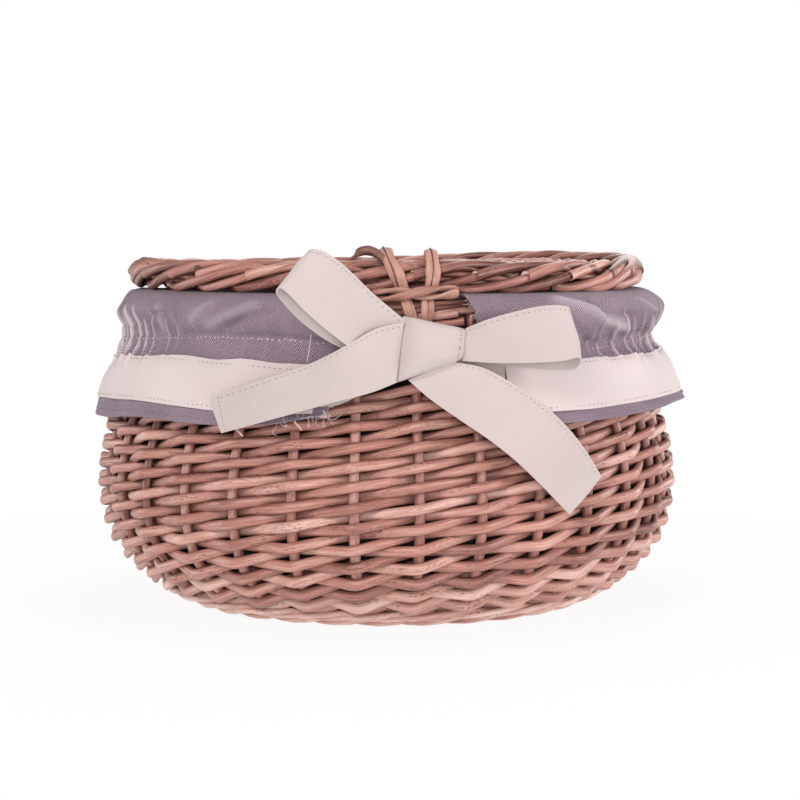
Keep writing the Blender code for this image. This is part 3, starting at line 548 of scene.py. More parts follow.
def disc(height, r_out, weave_out, pitch, wide, high, tone, warp=lambda path: path):
    """Sticks and weaving rods of a round base or lid."""
    parts, f = [], np.linspace(0, 1, 14)
    for k in range(DISC_STICKS):
        angle = FRONT + k * TURN / DISC_STICKS
        d = STICK_D * (0.74 + 0.30 * np.clip(f / 0.25, 0, 1) - 0.14 * f)
        z = height + 0.0002 * waves(f, 2, 0.3, 1.0)
        path = warp(place(part_way(SLATH_R, r_out, f), angle, z))
        parts.append(tube(path, place(1.0, angle + TURN / 4, 0.0), d / 2, d / 2,
                          tone - 0.05 + rng.normal(0, 0.06), sides=8))
    for layer in (0, 1):
        for k in range(6):
            x = np.linspace(-0.029, 0.029, 9) + rng.normal(0, 0.0008)
            flat = np.stack([x, np.full_like(x, (k - 2.5) * STICK_D * 1.02),
                             np.full_like(x, height + (0.0026 if layer else -0.0026))], -1)
            parts.append(tube(flat if layer else flat[:, [1, 0, 2]], UP, STICK_D * 0.47,
                              STICK_D * 0.50, tone - 0.02 + rng.normal(0, 0.06), sides=10))
    rounds = (weave_out - WEAVE_IN_R) / pitch
    t = np.linspace(0, rounds * TURN, int(rounds * DISC_STICKS * 5))
    for side in (1, -1):
        r = WEAVE_IN_R + pitch * t / TURN + (pitch / 2 if side < 0 else 0)
        swing = side * (STICK_D / 2 + high / 2 + 0.0001) * np.cos(DISC_STICKS / 2 * t)
        parts.append(tube(warp(place(r, FRONT + t, height + swing)), UP, high / 2, wide / 2,
                          tone + 0.04 * waves(t / TURN, 6, 0.1, 1.2), sides=8))
    return parts


rods_object("base_disc", disc(BASE_Z, 0.1080, 0.1030, 0.0098, 0.0046, 0.0036, 0.30),
            BUFF, "basket", ["base_sticks", "base_weave"])
rods_object("lid_disc", disc(LID_Z, 0.1400, 0.1375, 0.0080, 0.0039, 0.0034, 0.38, lid_warp),
            BUFF, "lid", ["lid_sticks", "lid_weave"])
print("base and lid woven")

# %% [markdown]
# The lid is lashed on with split willow: rods cleft along their length, damped and wound
# while soft. Two strands go over the lid's border, three narrow ones round the rim
# border, and two more are twisted together across the waist between them.

# %% Lashing
def loop_round(radius, height, reach, x, lean, wide, thick, nose, nose_at, tone):
    """A flat strand round a border's section: angle a runs round it, and the strand
    leans sideways as it rises."""
    a = np.arange(72) / 72 * TURN
    rr = reach + nose * np.clip(np.cos(a - nose_at), 0, None) ** 3
    px = x + lean * (1 + np.sin(a)) / 2 + 0.0003 * np.sin(3 * a + x * 900)
    rad = np.sqrt(radius ** 2 - px ** 2)
    path = np.stack([px, -(rad + rr * np.cos(a)), height + rr * np.sin(a)], -1)
    out = np.stack([0.10 * np.sin(2 * a), -np.cos(a), np.sin(a)], -1)
    w = wide * (1 + 0.07 * np.sin(2 * a + 1.3) + 0.04 * np.sin(5 * a))
    return tube(path, out, thick / 2, w / 2, tone, sides=14, ring=True)


HINGE_Y, HINGE_Z = 0.1605, 0.1905
over_lid = 0.0098 + 0.0010               # the border's own half width, and the gap
over_rim = 0.0075 + 0.0009
waist = math.hypot(HINGE_Y - RIM_R, HINGE_Z - RIM_Z)
reach = waist - 0.0038 - over_rim - 0.0004
lift = math.atan2(HINGE_Z - RIM_Z, HINGE_Y - RIM_R)
lid_at, rim_at = (LID_R, LID_Z), (RIM_R, RIM_Z)
for name, body, node_name, loops in (
        ("lid_strand_left", "lid", "lid_loop_left", (
            (*lid_at, over_lid, -0.0058, -0.0098, 0.0080, 0.0034, 0.0040, 1.85, 0.44),
            (*lid_at, over_lid + 0.0011, -0.0070, -0.0098, 0.0013, 0.0020, 0.0042, 1.85, 0.02))),
        ("lid_strand_right", "lid", "lid_loop_right", (
            (*lid_at, over_lid, 0.0082, 0.0010, 0.0078, 0.0034, 0.0030, 1.75, 0.50),
            (*lid_at, over_lid + 0.0009, 0.0076, 0.0016, 0.0012, 0.0018, 0.0034, 1.75, 0.02))),
        ("rim_strand_left", "basket", "rim_loop_left", (
            (*rim_at, over_rim, 0.0002, -0.0075, 0.0062, 0.0022, reach, lift, 0.40),)),
        ("rim_strand_right", "basket", "rim_loop_right", (
            (*rim_at, over_rim, 0.0034, 0.0014, 0.0036, 0.0022, reach, lift, 0.48),
            (*rim_at, over_rim, 0.0070, 0.0008, 0.0034, 0.0022, reach, lift, 0.36)))):
    rods_object(name, [loop_round(*loop) for loop in loops], SPLIT, body, [node_name])
print("lashing loops made")

# %% Waist twist
def twist(k, tone):
    """One of two strands twisted together across the waist, its ends bent inwards."""
    f = np.linspace(0, 1, 110)
    x = -0.0235 + 0.0455 * f
    phi = TURN * 0.80 * f + k * math.pi + 0.9
    near = np.clip((np.abs(x) - 0.0185) / 0.006, 0, 1) ** 2
    path = np.stack([x, -HINGE_Y - 0.0021 * np.cos(phi) + 0.0050 * near,
                     HINGE_Z + 0.0022 * np.sin(phi) + 0.0008 * x / 0.02], -1)
    out = np.stack([np.zeros_like(f), -np.cos(phi), np.sin(phi)], -1)
    w = (0.0060 + 0.0006 * np.sin(9 * f + k)) * (1 - 0.35 * near)
    return tube(path, out, 0.0015, w / 2, tone + 0.04 * waves(f, 2, 0.5, 2), sides=14)


rods_object("waist_twist", [twist(0, 0.44), twist(1, 0.33)], SPLIT, "basket",
            ["hinge_collar"])
print("waist twist made")

# %% [markdown]
# Cloth is woven too fine to model thread by thread, so its thread pattern is in the
# finish: the lining is a mauve-grey cotton twill, with slanting ribs about a millimetre
# apart, and the ribbon is a plain-woven cotton in a pinkish beige. Both recipes read the
# cloth's own flat coordinates in metres, so the threads follow the folds.

# %% Cloth finishes
def cloth(name, dark, light, crest_highlight, rib, slant, rough, fuzz, bump_mm):
    """A woven cloth: rib is the distance between its ribs, and slant their lean."""
    m, t = blank(name)
    flat = attribute(t, "flat", "Vector")
    split = node(t, "SeparateXYZ", Vector=flat).outputs
    run = maths(t, "MULTIPLY_ADD", split["Y"], slant, split["X"])
    bent = maths(t, "MULTIPLY_ADD", noise(t, flat, Scale=420.0, Detail=2.0), rib * 1.2, run)
    wave = maths(t, "SINE", maths(t, "MULTIPLY", bent, TURN / rib))
    threads = maths(t, "ADD", noise(t, flat, (2600.0, 700.0, 1.0), Detail=3.0),
                    noise(t, flat, (600.0, 2400.0, 1.0), Detail=3.0))
    ribs = maths(t, "MULTIPLY_ADD", wave, 0.06 + slant * 0.23, 0.03)
    woven = maths(t, "MULTIPLY_ADD", threads, 0.30, ribs)
    shade = maths(t, "MULTIPLY_ADD", noise(t, flat, Scale=24.0, Detail=4.0), 0.30, woven)
    # painted highlight: where the crest attribute is set, the colour goes toward the light crest colour
    painted_highlight = maths(t, "MULTIPLY", attribute(t, "crest"), 0.72)
    colour = mix(t, painted_highlight, ramp(t, shade, [(0.18, dark), (0.80, light)]), linear(crest_highlight))
    high = maths(t, "MULTIPLY_ADD", wave, 0.10 + slant * 0.30, threads)
    bump = node(t, "Bump", Strength=0.5, Distance=bump_mm / 1000, Height=high)
    close(t, Base_Color=colour, Roughness=rough, Sheen_Weight=fuzz, Sheen_Roughness=0.5,
          Normal=bump.outputs[0], Specular_IOR_Level=0.25)
    return m


TWILL = cloth("mauve_cotton_twill", "4A3A47", "AD99A6", "E2D5D8", 0.00135, 1.0, 0.88, 0.10, 0.30)
# painted shade: a near-black twill for the bag's side toward the rods, seen in the gaps between them
PAINTED_SHADE_TWILL = cloth("mauve_twill_painted_shade", "1C1416", "3D2E33", "3D2E33", 0.00135, 1.0, 0.90, 0.04, 0.20)
HEM_THREAD = cloth("mauve_sewing_thread", "7F6F7A", "A898A2", "A898A2", 0.0009, 1.0, 0.8, 0.1, 0.05)
TAPE = cloth("beige_cotton", "C8B9B8", "DCD0CF", "F2EAE9", 0.00080, 0.0, 0.86, 0.06, 0.09)
THREAD = cloth("pale_sewing_thread", "D2C0C0", "EBDFDD", "F1E6E4", 0.0009, 1.0, 0.8, 0.1, 0.05)
RIBBON = cloth("beige_cotton_ribbon", "B6A8A5", "CABEBB", "DCD1CE", 0.00080, 0.0, 0.86, 0.06, 0.09)
SHADED = cloth("grey_sewing_thread", "66534E", "857169", "857169", 0.0009, 1.0, 0.8, 0.1, 0.05)


print("cloth finishes made")

# %% [markdown]
# A sheet of cloth or ribbon is a grid of points given a second face a millimetre behind
# the first, with a strip that joins them round the edge. A modifier could thicken it,
# but the exported mesh should hold the real thickness.

# %% Sheets
def sheet_object(name, grid, flat, material, stands_for, slot, thick, inward=True, **values):
    """A sheet from a grid of points (across, along, 3): two faces thick apart, joined
    round the edge. flat holds each grid point's place on the uncut cloth, in metres."""
    n, m = grid.shape[:2]
    du, dv = np.gradient(grid, axis=0), np.gradient(grid, axis=1)
    under = grid - unit(np.cross(dv, du)) * (1 if inward else -1) * thick
    top = cells(n, m, closed=False)
    top = top if inward else top[:, ::-1]
    edge = np.concatenate([np.arange(m), np.arange(1, n) * m + m - 1,
                           (n - 1) * m + np.arange(m - 2, -1, -1), np.arange(n - 2, 0, -1) * m])
    nxt = np.roll(edge, -1)
    side = np.stack([edge, edge + n * m, nxt + n * m, nxt], -1)
    own = np.zeros((2 * n * m, 3))
    own[:, :2] = np.tile(flat.reshape(-1, 2), (2, 1))
    me = mesh_of(name, np.vstack([grid.reshape(-1, 3), under.reshape(-1, 3)]),
                 [top, top[:, ::-1] + n * m, side if inward else side[:, ::-1]], material, 60,
                 flat=own, **{key: np.tile(value.ravel(), 2) for key, value in values.items()})
    return put(me, "basket", stands_for)


def flat_of(a, radius, s):
    """Flat places of a grid round the basket: a is the angle, s the way down."""
    a, s = np.broadcast_arrays(a, s)
    return np.stack([a * radius, s], -1)


# %% [markdown]
# The lining is a bag sewn to a cuff. The cuff comes up from the bag, over the rim
# border, puffs out, is gathered in by a line of stitches and falls as a short skirt to
# its hem. The gathers are sharp ridges at the stitches and open out above them. They
# are deep at the sides and back and nearly flat at the front, where the cloth is
# stretched between the slit's edges. A cloth simulation would gather it too, but not
# with each fold where it is seen, so here formulas lay them.

# %% The cuff's profile
CUFF_IN_R, CUFF_TOP_Z, PUFF_R, PUFF_Z = 0.1402, 0.1894, 0.1704, 0.1755
SEAM_R, SEAM_Z, HEM_R, HEM_Z = 0.1628, 0.1600, 0.1792, 0.1180
BAND_TOP_Z, BAND_BOTTOM_Z = 0.1530, 0.1262
CUFF_LINE = spline([
    (CUFF_IN_R, 0.1705), (CUFF_IN_R, RIM_Z),
    (part_way(CUFF_IN_R, RIM_R, 0.4), CUFF_TOP_Z - 0.0005),
    (part_way(RIM_R, PUFF_R, 0.35), CUFF_TOP_Z),
    (part_way(PUFF_R, RIM_R, 0.12), part_way(CUFF_TOP_Z, PUFF_Z, 0.45)), (PUFF_R, PUFF_Z),
    (part_way(SEAM_R, PUFF_R, 0.45), part_way(SEAM_Z, PUFF_Z, 0.35)), (SEAM_R, SEAM_Z),
    (part_way(SEAM_R, HEM_R, 0.40), part_way(SEAM_Z, HEM_Z, 0.26)),
    (part_way(SEAM_R, HEM_R, 0.70), part_way(SEAM_Z, HEM_Z, 0.66)), (HEM_R, HEM_Z)], 16)
CUFF_ARC = arc_of(CUFF_LINE)
CUFF_TAN = unit(np.gradient(CUFF_LINE, CUFF_ARC, axis=0))
SEAM_S, CUFF_END = float(CUFF_ARC[16 * 7]), float(CUFF_ARC[-1])   # the seam is point 7
print("cuff profile", round(CUFF_END * 1000), "mm, seam at", round(SEAM_S * 1000))

# %% Gathers and folds
GATHERS = 80
gather_a = (np.arange(GATHERS) + 0.5 + rng.uniform(-0.30, 0.30, GATHERS)) * TURN / GATHERS
gather_high = rng.uniform(0.55, 1.0, GATHERS)
gather_up = rng.uniform(0.20, 0.46, GATHERS)       # how far up they run, as a share
gather_down = rng.uniform(0.007, 0.020, GATHERS)   # and how far down, in metres
lean_at = np.linspace(0, TURN, 721)
gather_lean = (-0.26 * np.clip(np.sin(lean_at), 0, 1) ** 0.5 + 0.06 * np.clip(-np.sin(lean_at), 0, 1)
               + 0.05 * np.sin(13 * lean_at + 2.6))
# soft slanting folds in front: from and to, in degrees and shares of the way to the
# gathering line, then half width in metres and height in millimetres
SOFT = ((-39.5, 0.92, -28.0, 0.66, 0.0034, -1.9), (-43.0, 0.90, -31.0, 0.60, 0.0040, 1.0),
        (-53.0, 0.98, -50.0, 0.62, 0.0032, -1.5), (-47.0, 0.86, -41.0, 0.58, 0.0034, 0.9),
        (-57.0, 0.99, -60.5, 0.60, 0.0026, 1.4), (-63.0, 0.84, -56.0, 0.58, 0.0026, -1.3),
        (28.0, 0.55, 53.0, 0.88, 0.0036, 1.9), (31.0, 0.74, 39.5, 0.99, 0.0034, -1.7),
        (36.0, 0.58, 58.0, 0.76, 0.0034, -1.6), (20.0, 0.66, 27.0, 0.93, 0.0034, -1.2),
        (62.0, 0.58, 70.0, 0.74, 0.0028, 1.3))


def smooth(x, low, high):
    """From 0 at low to 1 at high, level at both."""
    t = np.clip((x - low) / (high - low), 0, 1)
    return t * t * (3 - 2 * t)


print("gathers", GATHERS, "soft folds", len(SOFT))

# %% How the cuff hangs
# how far hem, band edges, gathering line and top stand from level, a row for each, in
# millimetres at some angles from the front: the cuff is hitched up on its left
SAG_AT = (-180, -120, -96, -75, -55, -40, -26, -17, 0, 31, 43, 60, 84, 120, 180)
SAG = mm([(0, 0, -5.2, -2.8, 1.3, -0.6, 1.4, 8.5, -2.0, 0.4, 2.0, 5.0, 7.0, 4, 0),
          (0, 0, -4.0, 0.1, 1.4, -1.2, -1.8, -1.0, -2.0, -2.2, -0.6, 0.9, 1.6, 1, 0),
          (0, 0, -7.0, -1.8, 1.4, 0.0, -2.8, -2.2, -1.5, -0.7, 0.3, -0.2, 1.2, 1, 0),
          (0, 0, -1.5, 1.0, 3.9, 5.6, 4.6, 2.9, 0.8, -3.0, -2.2, 1.7, 2.5, 1, 0),
          (-2.4, -2.6, -0.6, 0, 0, 0, 0, 0, 0, 0, 0, 0, 0, 0, -2.4)])
SAG_FINE = np.linspace(-180, 180, 721)
SAG_ROWS = [np.convolve(np.pad(np.interp(SAG_FINE, SAG_AT, row), 8, mode="edge"),
                        np.ones(17) / 17, "valid") for row in SAG]
DEGREES = 57.3                             # in a radian, for the places of the folds
DEGREE_M = 0.0029                          # length of a degree round the cuff
print("cuff stands up to", SAG.max() * 1000, "mm high and", -SAG.min() * 1000, "mm low")

# %% The cuff's outer face
def cuff(a, s, off=0.0, want_highlight=False):
    """Points of the cuff's outer face: a is the angle from the front, to the right, s
    the way along its profile and off the distance outwards. Asked for, the painted
    highlight on the crests of the gathers and of the raised soft folds comes instead, from 0 to 1."""
    a, s = np.broadcast_arrays(a, s)
    r, z, tr, tz = on_line(s, CUFF_ARC, CUFF_LINE, CUFF_TAN)
    t, turned = s / SEAM_S, (a + math.pi) % TURN - math.pi
    above, below = np.clip(1 - t, 0, None), np.clip(s - SEAM_S, 0, None)
    side = np.where(turned > 0, turned * DEGREES - 37, -turned * DEGREES - 50)
    full = 0.07 + 0.93 * smooth(side, 0, 9)
    crest = np.zeros(a.shape)
    first = np.searchsorted(gather_a, a % TURN)
    for near in (-1, 0):
        k = (first + near) % GATHERS
        gap = np.abs((a - gather_a[k] + math.pi) % TURN - math.pi)
        tall = gather_high[k] * np.exp(-(above / gather_up[k]) ** 4 - (below / gather_down[k]) ** 2)
        crest = np.maximum(crest, tall * np.exp(-gap / (0.0085 + 0.010 * above)))
    # painted highlight: the crests of the gathers are painted lighter near the gathering line
    painted_highlight = np.clip(crest * 2.6 - 0.75, 0, 1) * full * smooth(t, 0.5, 0.7)
    near_line = np.exp(-(above / 0.46) ** 4 - (below / 0.018) ** 2)
    pinch = np.exp(-((t - 1) / 0.020) ** 2)
    deep = ((0.0010 - 0.0048 * (near_line - crest)) * smooth(t, 0.42, 0.70)
            * (1 - 0.60 * pinch) * full * near_line)
    for a0, t0, a1, t1, half, high in SOFT:
        x, y = (turned * DEGREES - a0) * DEGREE_M, (t - t0) * SEAM_S
        dx, dy = (a1 - a0) * DEGREE_M, (t1 - t0) * SEAM_S
        far = math.hypot(dx, dy)
        way, off_line = (x * dx + y * dy) / far, (x * dy - y * dx) / far
        inside = smooth(way, -0.004, 0.006) * smooth(far - way, -0.004, 0.006)
        fold = inside * np.exp(-(off_line / half) ** 2) * (1 - pinch)
        # raised soft folds add to the painted highlight
        deep, painted_highlight = deep + 1.6 * high / 1000 * fold, painted_highlight + max(high, 0) * 0.22 * fold
    if want_highlight:
        return np.clip(painted_highlight, 0, 1)
    lump = 0.0005 * np.sin(9 * a + 11 * t) + 0.0005 * np.sin(17 * a - 9 * t + 2)
    deep = deep + lump * smooth(t, 0.45, 0.75) * (1 - 0.6 * pinch)
    # on the left the puff lies closer, drawn in by the tighter thread
    deep = deep - (0.0052 * smooth(t, 0.40, 0.62) * smooth(1 - t, 0.0, 0.10)
                   + 0.0012 * smooth(below, 0.004, 0.012)) * np.exp(-((turned + 1.60) / 0.52) ** 2)
    sag = 0.0016 * smooth(below, 0.010, 0.045) * (0.5 + 0.5 * np.sin(23 * a + 2 * np.sin(4 * a)))
    sway = 0.0036 * np.clip(np.sin(a), 0, 1) * smooth(below, 0.0, 0.045)
    deep = deep + sag + sway + off
    r, z = r - deep * tz, z + deep * tr
    levels = (HEM_Z, BAND_BOTTOM_Z, BAND_TOP_Z, SEAM_Z, CUFF_TOP_Z)
    turn = np.degrees(turned)
    rows = [np.interp(turn, SAG_FINE, row) for row in SAG_ROWS]
    rise = sum(row * np.clip(1 - np.abs(np.interp(z, levels, range(5)) - k), 0, 1)
               for k, row in enumerate(rows))
    lean = np.interp(a % TURN, lean_at, gather_lean) * above * full * smooth(t, 0.3, 0.6)
    return place(r, FRONT + a + lean, z + rise)

# %% The slit, and the grid's columns
def columns(right, left):
    """Angles from right round the back to TURN - left, close together at each gather."""
    beside = np.array([-0.030, -0.018, -0.009, -0.0035, 0, 0.0035, 0.009, 0.018, 0.030])
    near = (gather_a[:, None] + beside).ravel()
    every = np.concatenate([near, np.linspace(0, TURN, 180)])
    every = every[(every > right + 0.004) & (every < TURN - left - 0.004)]
    every = np.concatenate([[right], np.sort(every), [TURN - left]])
    return every[np.concatenate([[True], np.diff(every) > 0.0012])]


def slit(s):
    """How far the slit's right and left edge stand from the front at s, in radians."""
    low, skirt = np.clip(s / SEAM_S, 0, 1), np.clip((s - SEAM_S) / (CUFF_END - SEAM_S), 0, 1)
    return np.radians(8.4 + 3.6 * low), np.radians(14.5 - 1.2 * low + 4.2 * skirt)


def across_cuff(s):
    """The columns from the right edge of the slit round the back to its left edge, at s."""
    right, left = slit(CUFF_END)
    a = columns(right, left)[:, None]
    return (a - (right - slit(s)[0]) * np.exp(-(a - a[0]) / 0.15)
            + (left - slit(s)[1]) * np.exp(-(a[-1] - a) / 0.15))

# %% Cuff
low = SEAM_S * 0.45                      # rows stand wide apart up to here
s = np.concatenate([np.linspace(0, low, 6)[:-1], np.linspace(low, SEAM_S, 29)[:-1],
                    np.linspace(SEAM_S, CUFF_END, 20)])[None]
angles = across_cuff(s)
grid = cuff(angles, s)
print("cuff grid", grid.shape)
# the crest attribute carries the painted highlight on the gathers' crests
cuff_piece = sheet_object("gathered_cuff", grid, flat_of(angles, 0.168, s), TWILL, ["lining_cuff"],
                          "lining", 0.0011, crest=cuff(angles, s, want_highlight=True))

# %% [markdown]
# The bag lines the basket: it hangs from the cuff inside the stakes, with a flat floor,
# in loose ripples. It follows the wall's own line, moved inwards.

# %% Bag
r_bag, z_bag = wall(np.linspace(SIDING_S, s_at(0.1660), 60), -0.0089)
f = np.linspace(0, 1, 24)[1:]
profile = np.vstack([[[CUFF_IN_R - 0.0006, 0.1712]], np.stack([r_bag[::-1], z_bag[::-1]], -1),
                     np.stack([r_bag[0] * (1 - f * 0.985), np.full_like(f, z_bag[0])], -1)])
bag_s = arc_of(profile)
around = np.linspace(0, TURN, 361)[:, None]
ripple = 0.0016 * np.sin(19 * around + 3 * np.sin(2 * around)) + 0.0010 * np.sin(41 * around)
ripple = ripple * np.exp(-((bag_s - 0.05) / 0.06) ** 2)[None] - 0.0016
r = profile[:, 0][None] + ripple * (profile[:, 0] > 0.10)
grid = place(r, FRONT + around, profile[:, 1][None])
bag_piece = sheet_object("lining_cloth_bag", grid, flat_of(around, 0.15, bag_s[None]), TWILL,
                         ["lining_bag"], "lining", 0.0009)
# the bag's side toward the rods is painted near black, as painted shade in the gaps between them
bag_piece.data.materials.append(PAINTED_SHADE_TWILL)
bag_faces, outer_faces = bag_piece.data.polygons, (grid.shape[0] - 1) * (grid.shape[1] - 1)
outer = (np.arange(len(bag_faces)) < outer_faces).astype(np.int32)
bag_faces.foreach_set("material_index", outer)

# %% [markdown]
# The casing band is sewn flat on the skirt, so it takes the skirt's shape half a
# millimetre out. A gathering thread shows as pale dashes at the waist, and the band is
# stitched along both edges. Every stitch is a short bead of thread on the cloth.

# %% Band
def s_of(z):
    """Way along the profile where the skirt's outer face is at height z."""
    k = CUFF_ARC >= SEAM_S
    return float(np.interp(-z, -CUFF_LINE[k, 1], CUFF_ARC[k]))


band_s = np.linspace(s_of(BAND_TOP_Z), s_of(BAND_BOTTOM_Z), 14)[None]
BAND_RIGHT, BAND_LEFT = math.radians(16.5), math.radians(19.0)
band_a = columns(BAND_RIGHT, BAND_LEFT)[:, None] + 0 * band_s
edge_lift = 0.0004 * np.sin(29 * band_a) * smooth(np.abs(band_s - band_s.mean()), 0.009, 0.014)
grid = cuff(band_a, band_s, 0.0014 + edge_lift)
# the band carries 0.7 of the cuff's painted highlight on its crests
band_piece = sheet_object("casing_band", grid, flat_of(band_a, 0.172, band_s), TAPE, ["trim_band"],
                          "ribbon", 0.0009, crest=0.7 * cuff(band_a, band_s, want_highlight=True))

# %% Stitches
def beads(name, start, end, side, wide, material, slot, stands_for=(), skip=0.0):
    """Stitches as small flat lozenges from each start to each end, raised at the middle.
    start, end and side are rows of points; side points across and out is their cross."""
    keep = rng.uniform(0, 1, len(start)) >= skip
    start, end, side = start[keep], end[keep], unit(side[keep])
    mid, along = (start + end) / 2, unit(end - start)
    out = unit(np.cross(along, side))
    out *= np.where((out * mid * [1, 1, 0]).sum(1, keepdims=True) < 0, -1, 1)
    w = wide / 2
    ring = np.stack([start, mid + side * w, end, mid - side * w, mid + out * w * 0.9], 1)
    one = np.array([[0, 1, 4], [1, 2, 4], [2, 3, 4], [3, 0, 4], [0, 3, 2], [0, 2, 1]])
    faces = (np.arange(len(ring))[:, None, None] * 5 + one).reshape(-1, 3)
    points = ring.reshape(-1, 3)
    return put(mesh_of(name, points, [faces], material, flat=points), "basket", stands_for)


STITCH_R = 0.17                            # radius at which a row's stitches are spaced


def row_on_cuff(s, off, a0, a1, pitch, share):
    """Start, end and side of a row of stitches round the cuff at s."""
    a = np.arange(a0, a1, pitch / STITCH_R)
    a = a + rng.normal(0, 0.08 * pitch / STITCH_R, len(a))
    up = rng.normal(0, 0.00012, (2, len(a)))
    p = cuff(a, s + up[0], off)
    q = cuff(a + share * pitch / STITCH_R, s + up[1], off)
    return p, q, cuff(a, s + 0.001, off) - p

# %% Rows of stitches
right_end = math.radians(12.6)
waist_end, hem_end = TURN - math.radians(13.9), TURN - math.radians(17.4)
waist_row = row_on_cuff(SEAM_S, 0.0004, right_end, waist_end, 0.0034, 0.62)
beads("gathering_stitches", *waist_row, 0.0007, THREAD, "ribbon", ["cuff_elastic"], skip=0.12)
for k, z in enumerate((BAND_TOP_Z - 0.0020, BAND_BOTTOM_Z + 0.0020)):
    row = row_on_cuff(s_of(z), 0.0015, BAND_RIGHT + 0.004, TURN - BAND_LEFT - 0.004, 0.0032, 0.42)
    beads(f"band_stitches_{k + 1}", *row, 0.0005, SHADED, "ribbon")
hem_row = row_on_cuff(CUFF_END - 0.0032, 0.0002, right_end, hem_end, 0.0030, 0.62)
beads("hem_stitches", *hem_row, 0.0005, HEM_THREAD, "lining")
print("stitches made")

# %% [markdown]
# The ribbon is the same beige cotton, folded double and sewn along one edge, which is
# why it is a little stiff and holds its loops open. Each part of the bow is given by
# where its two edges run: rows of the upper and the lower edge's place in millimetres. A
# simulated ribbon would fall somewhere else, and this one has its place.

# %% Ribbon
def ribbon_grid(rows, cup, steps=12, across=13):
    """A sheet through rows of edge points, bulging by cup millimetres at its middle."""
    edges = spline(mm(rows), steps)
    v = np.linspace(0, 1, across)[None, :, None]
    grid = edges[:, None, :3] * (1 - v) + edges[:, None, 3:] * v
    du, dv = np.gradient(grid, axis=0), np.gradient(grid, axis=1)
    f = np.linspace(0, 1, len(grid))[:, None, None]
    dent = 0.35 * np.sin(9 * f + 5 * v) + 0.25 * np.sin(23 * f - 7 * v + 1)
    middle = np.sin(math.pi * v)
    return grid + unit(np.cross(dv, du)) * (cup * middle + dent * middle) / 1000


def along_line(x, at, line):
    """Points of a line of places given at at, read at x."""
    return np.stack([np.interp(x, at, line[:, c]) for c in range(3)], -1)


def ribbon_piece(name, rows, cup, inward, node_name, end_seam=False):
    """A piece of ribbon with its row of stitches along the upper edge, and where asked
    another one across its end."""
    grid = ribbon_grid(rows, cup)
    along = lengths(grid[:, 6])
    wide = np.linalg.norm(grid[:, -1] - grid[:, 0], axis=-1)
    v = np.linspace(-0.5, 0.5, grid.shape[1])[None]
    flat = np.stack([np.broadcast_to(along[:, None], grid.shape[:2]), wide[:, None] * v], -1)
    o = sheet_object(name, grid, flat, RIBBON, [node_name], "ribbon", 0.0011, inward)
    du, dv = np.gradient(grid, axis=0), np.gradient(grid, axis=1)
    normal = unit(np.cross(dv, du)) * (1 if inward else -1)
    inset = np.clip(0.0022 / wide, 0, 1) * (grid.shape[1] - 1)
    low, i = np.floor(inset).astype(int), np.arange(len(grid))
    seam = grid[i, low] * (1 - (inset - low))[:, None] + grid[i, low + 1] * (inset - low)[:, None]
    seam = seam + normal[i, low] * 0.00012
    at = np.arange(0.002, along[-1] - 0.004, 0.0033)
    at = at + rng.normal(0, 0.0002, len(at))
    beads(name + "_stitches", along_line(at, along, seam), along_line(at + 0.0013, along, seam),
          along_line(at, along, grid[:, 2] - grid[:, 0]), 0.00045, SHADED, "ribbon")
    if end_seam:
        near = int(np.searchsorted(along, along[-1] - 0.0045))
        across = grid[near] + normal[near] * 0.00015
        share = np.arange(0.06, 0.92, 0.105)
        way = np.tile(grid[-1, 6] - grid[near, 6], (len(share), 1))
        beads(name + "_end_stitches", along_line(share * 12, range(13), across),
              along_line((share + 0.06) * 12, range(13), across), way, 0.00045, SHADED, "ribbon")

# %% Bow
ribbon_piece("bow_loop_left_ribbon", [
    (-8.8, -179.0, 176.8, -14.6, -178.0, 159.6), (-25.5, -184.0, 190.5, -30.1, -182.0, 157.7),
    (-41.6, -190.0, 205.6, -45.9, -190.0, 167.4), (-52.0, -194.0, 213.1, -62.1, -194.0, 180.9),
    (-58.4, -195.8, 215.2, -75.0, -196.0, 193.6), (-61.3, -192.4, 214.2, -79.0, -192.6, 193.4),
    (-56.3, -188.4, 210.6, -76.0, -188.6, 187.6), (-41.8, -186.0, 194.9, -62.4, -183.0, 174.0),
    (-25.2, -181.0, 181.3, -41.1, -178.0, 161.3), (-9.5, -176.0, 171.3, -15.4, -175.0, 158.3)],
    -0.8, False, "bow_loop_left")
ribbon_piece("bow_loop_right_ribbon", [
    (24.5, -178.0, 172.3, 22.4, -178.0, 154.5), (38.0, -183.0, 177.9, 39.7, -183.0, 153.6),
    (58.0, -187.0, 183.3, 58.1, -187.0, 153.7), (70.4, -188.2, 184.9, 75.4, -188.2, 154.7),
    (77.6, -186.6, 184.2, 84.6, -186.8, 156.4), (80.2, -183.0, 183.0, 87.0, -183.2, 153.4),
    (76.5, -179.0, 180.7, 82.4, -179.0, 149.2), (59.9, -176.6, 177.5, 65.5, -176.6, 149.7),
    (40.8, -175.4, 173.7, 46.4, -175.4, 151.9), (25.2, -174.0, 169.9, 24.2, -174.0, 156.3)],
    0.8, True, "bow_loop_right")
ribbon_piece("bow_tail_left_ribbon", [
    (-9.6, -181.2, 175.9, -13.9, -181.0, 143.0), (-25.3, -187.3, 172.5, -28.2, -183.8, 137.9),
    (-41.1, -186.5, 163.8, -49.3, -181.0, 132.3), (-59.8, -177.4, 153.7, -70.4, -173.6, 125.9),
    (-86.2, -165.6, 144.0, -91.6, -162.8, 119.2), (-113.4, -147.4, 133.6, -107.1, -152.6, 114.2)],
    -0.5, False, "bow_tail_left", True)
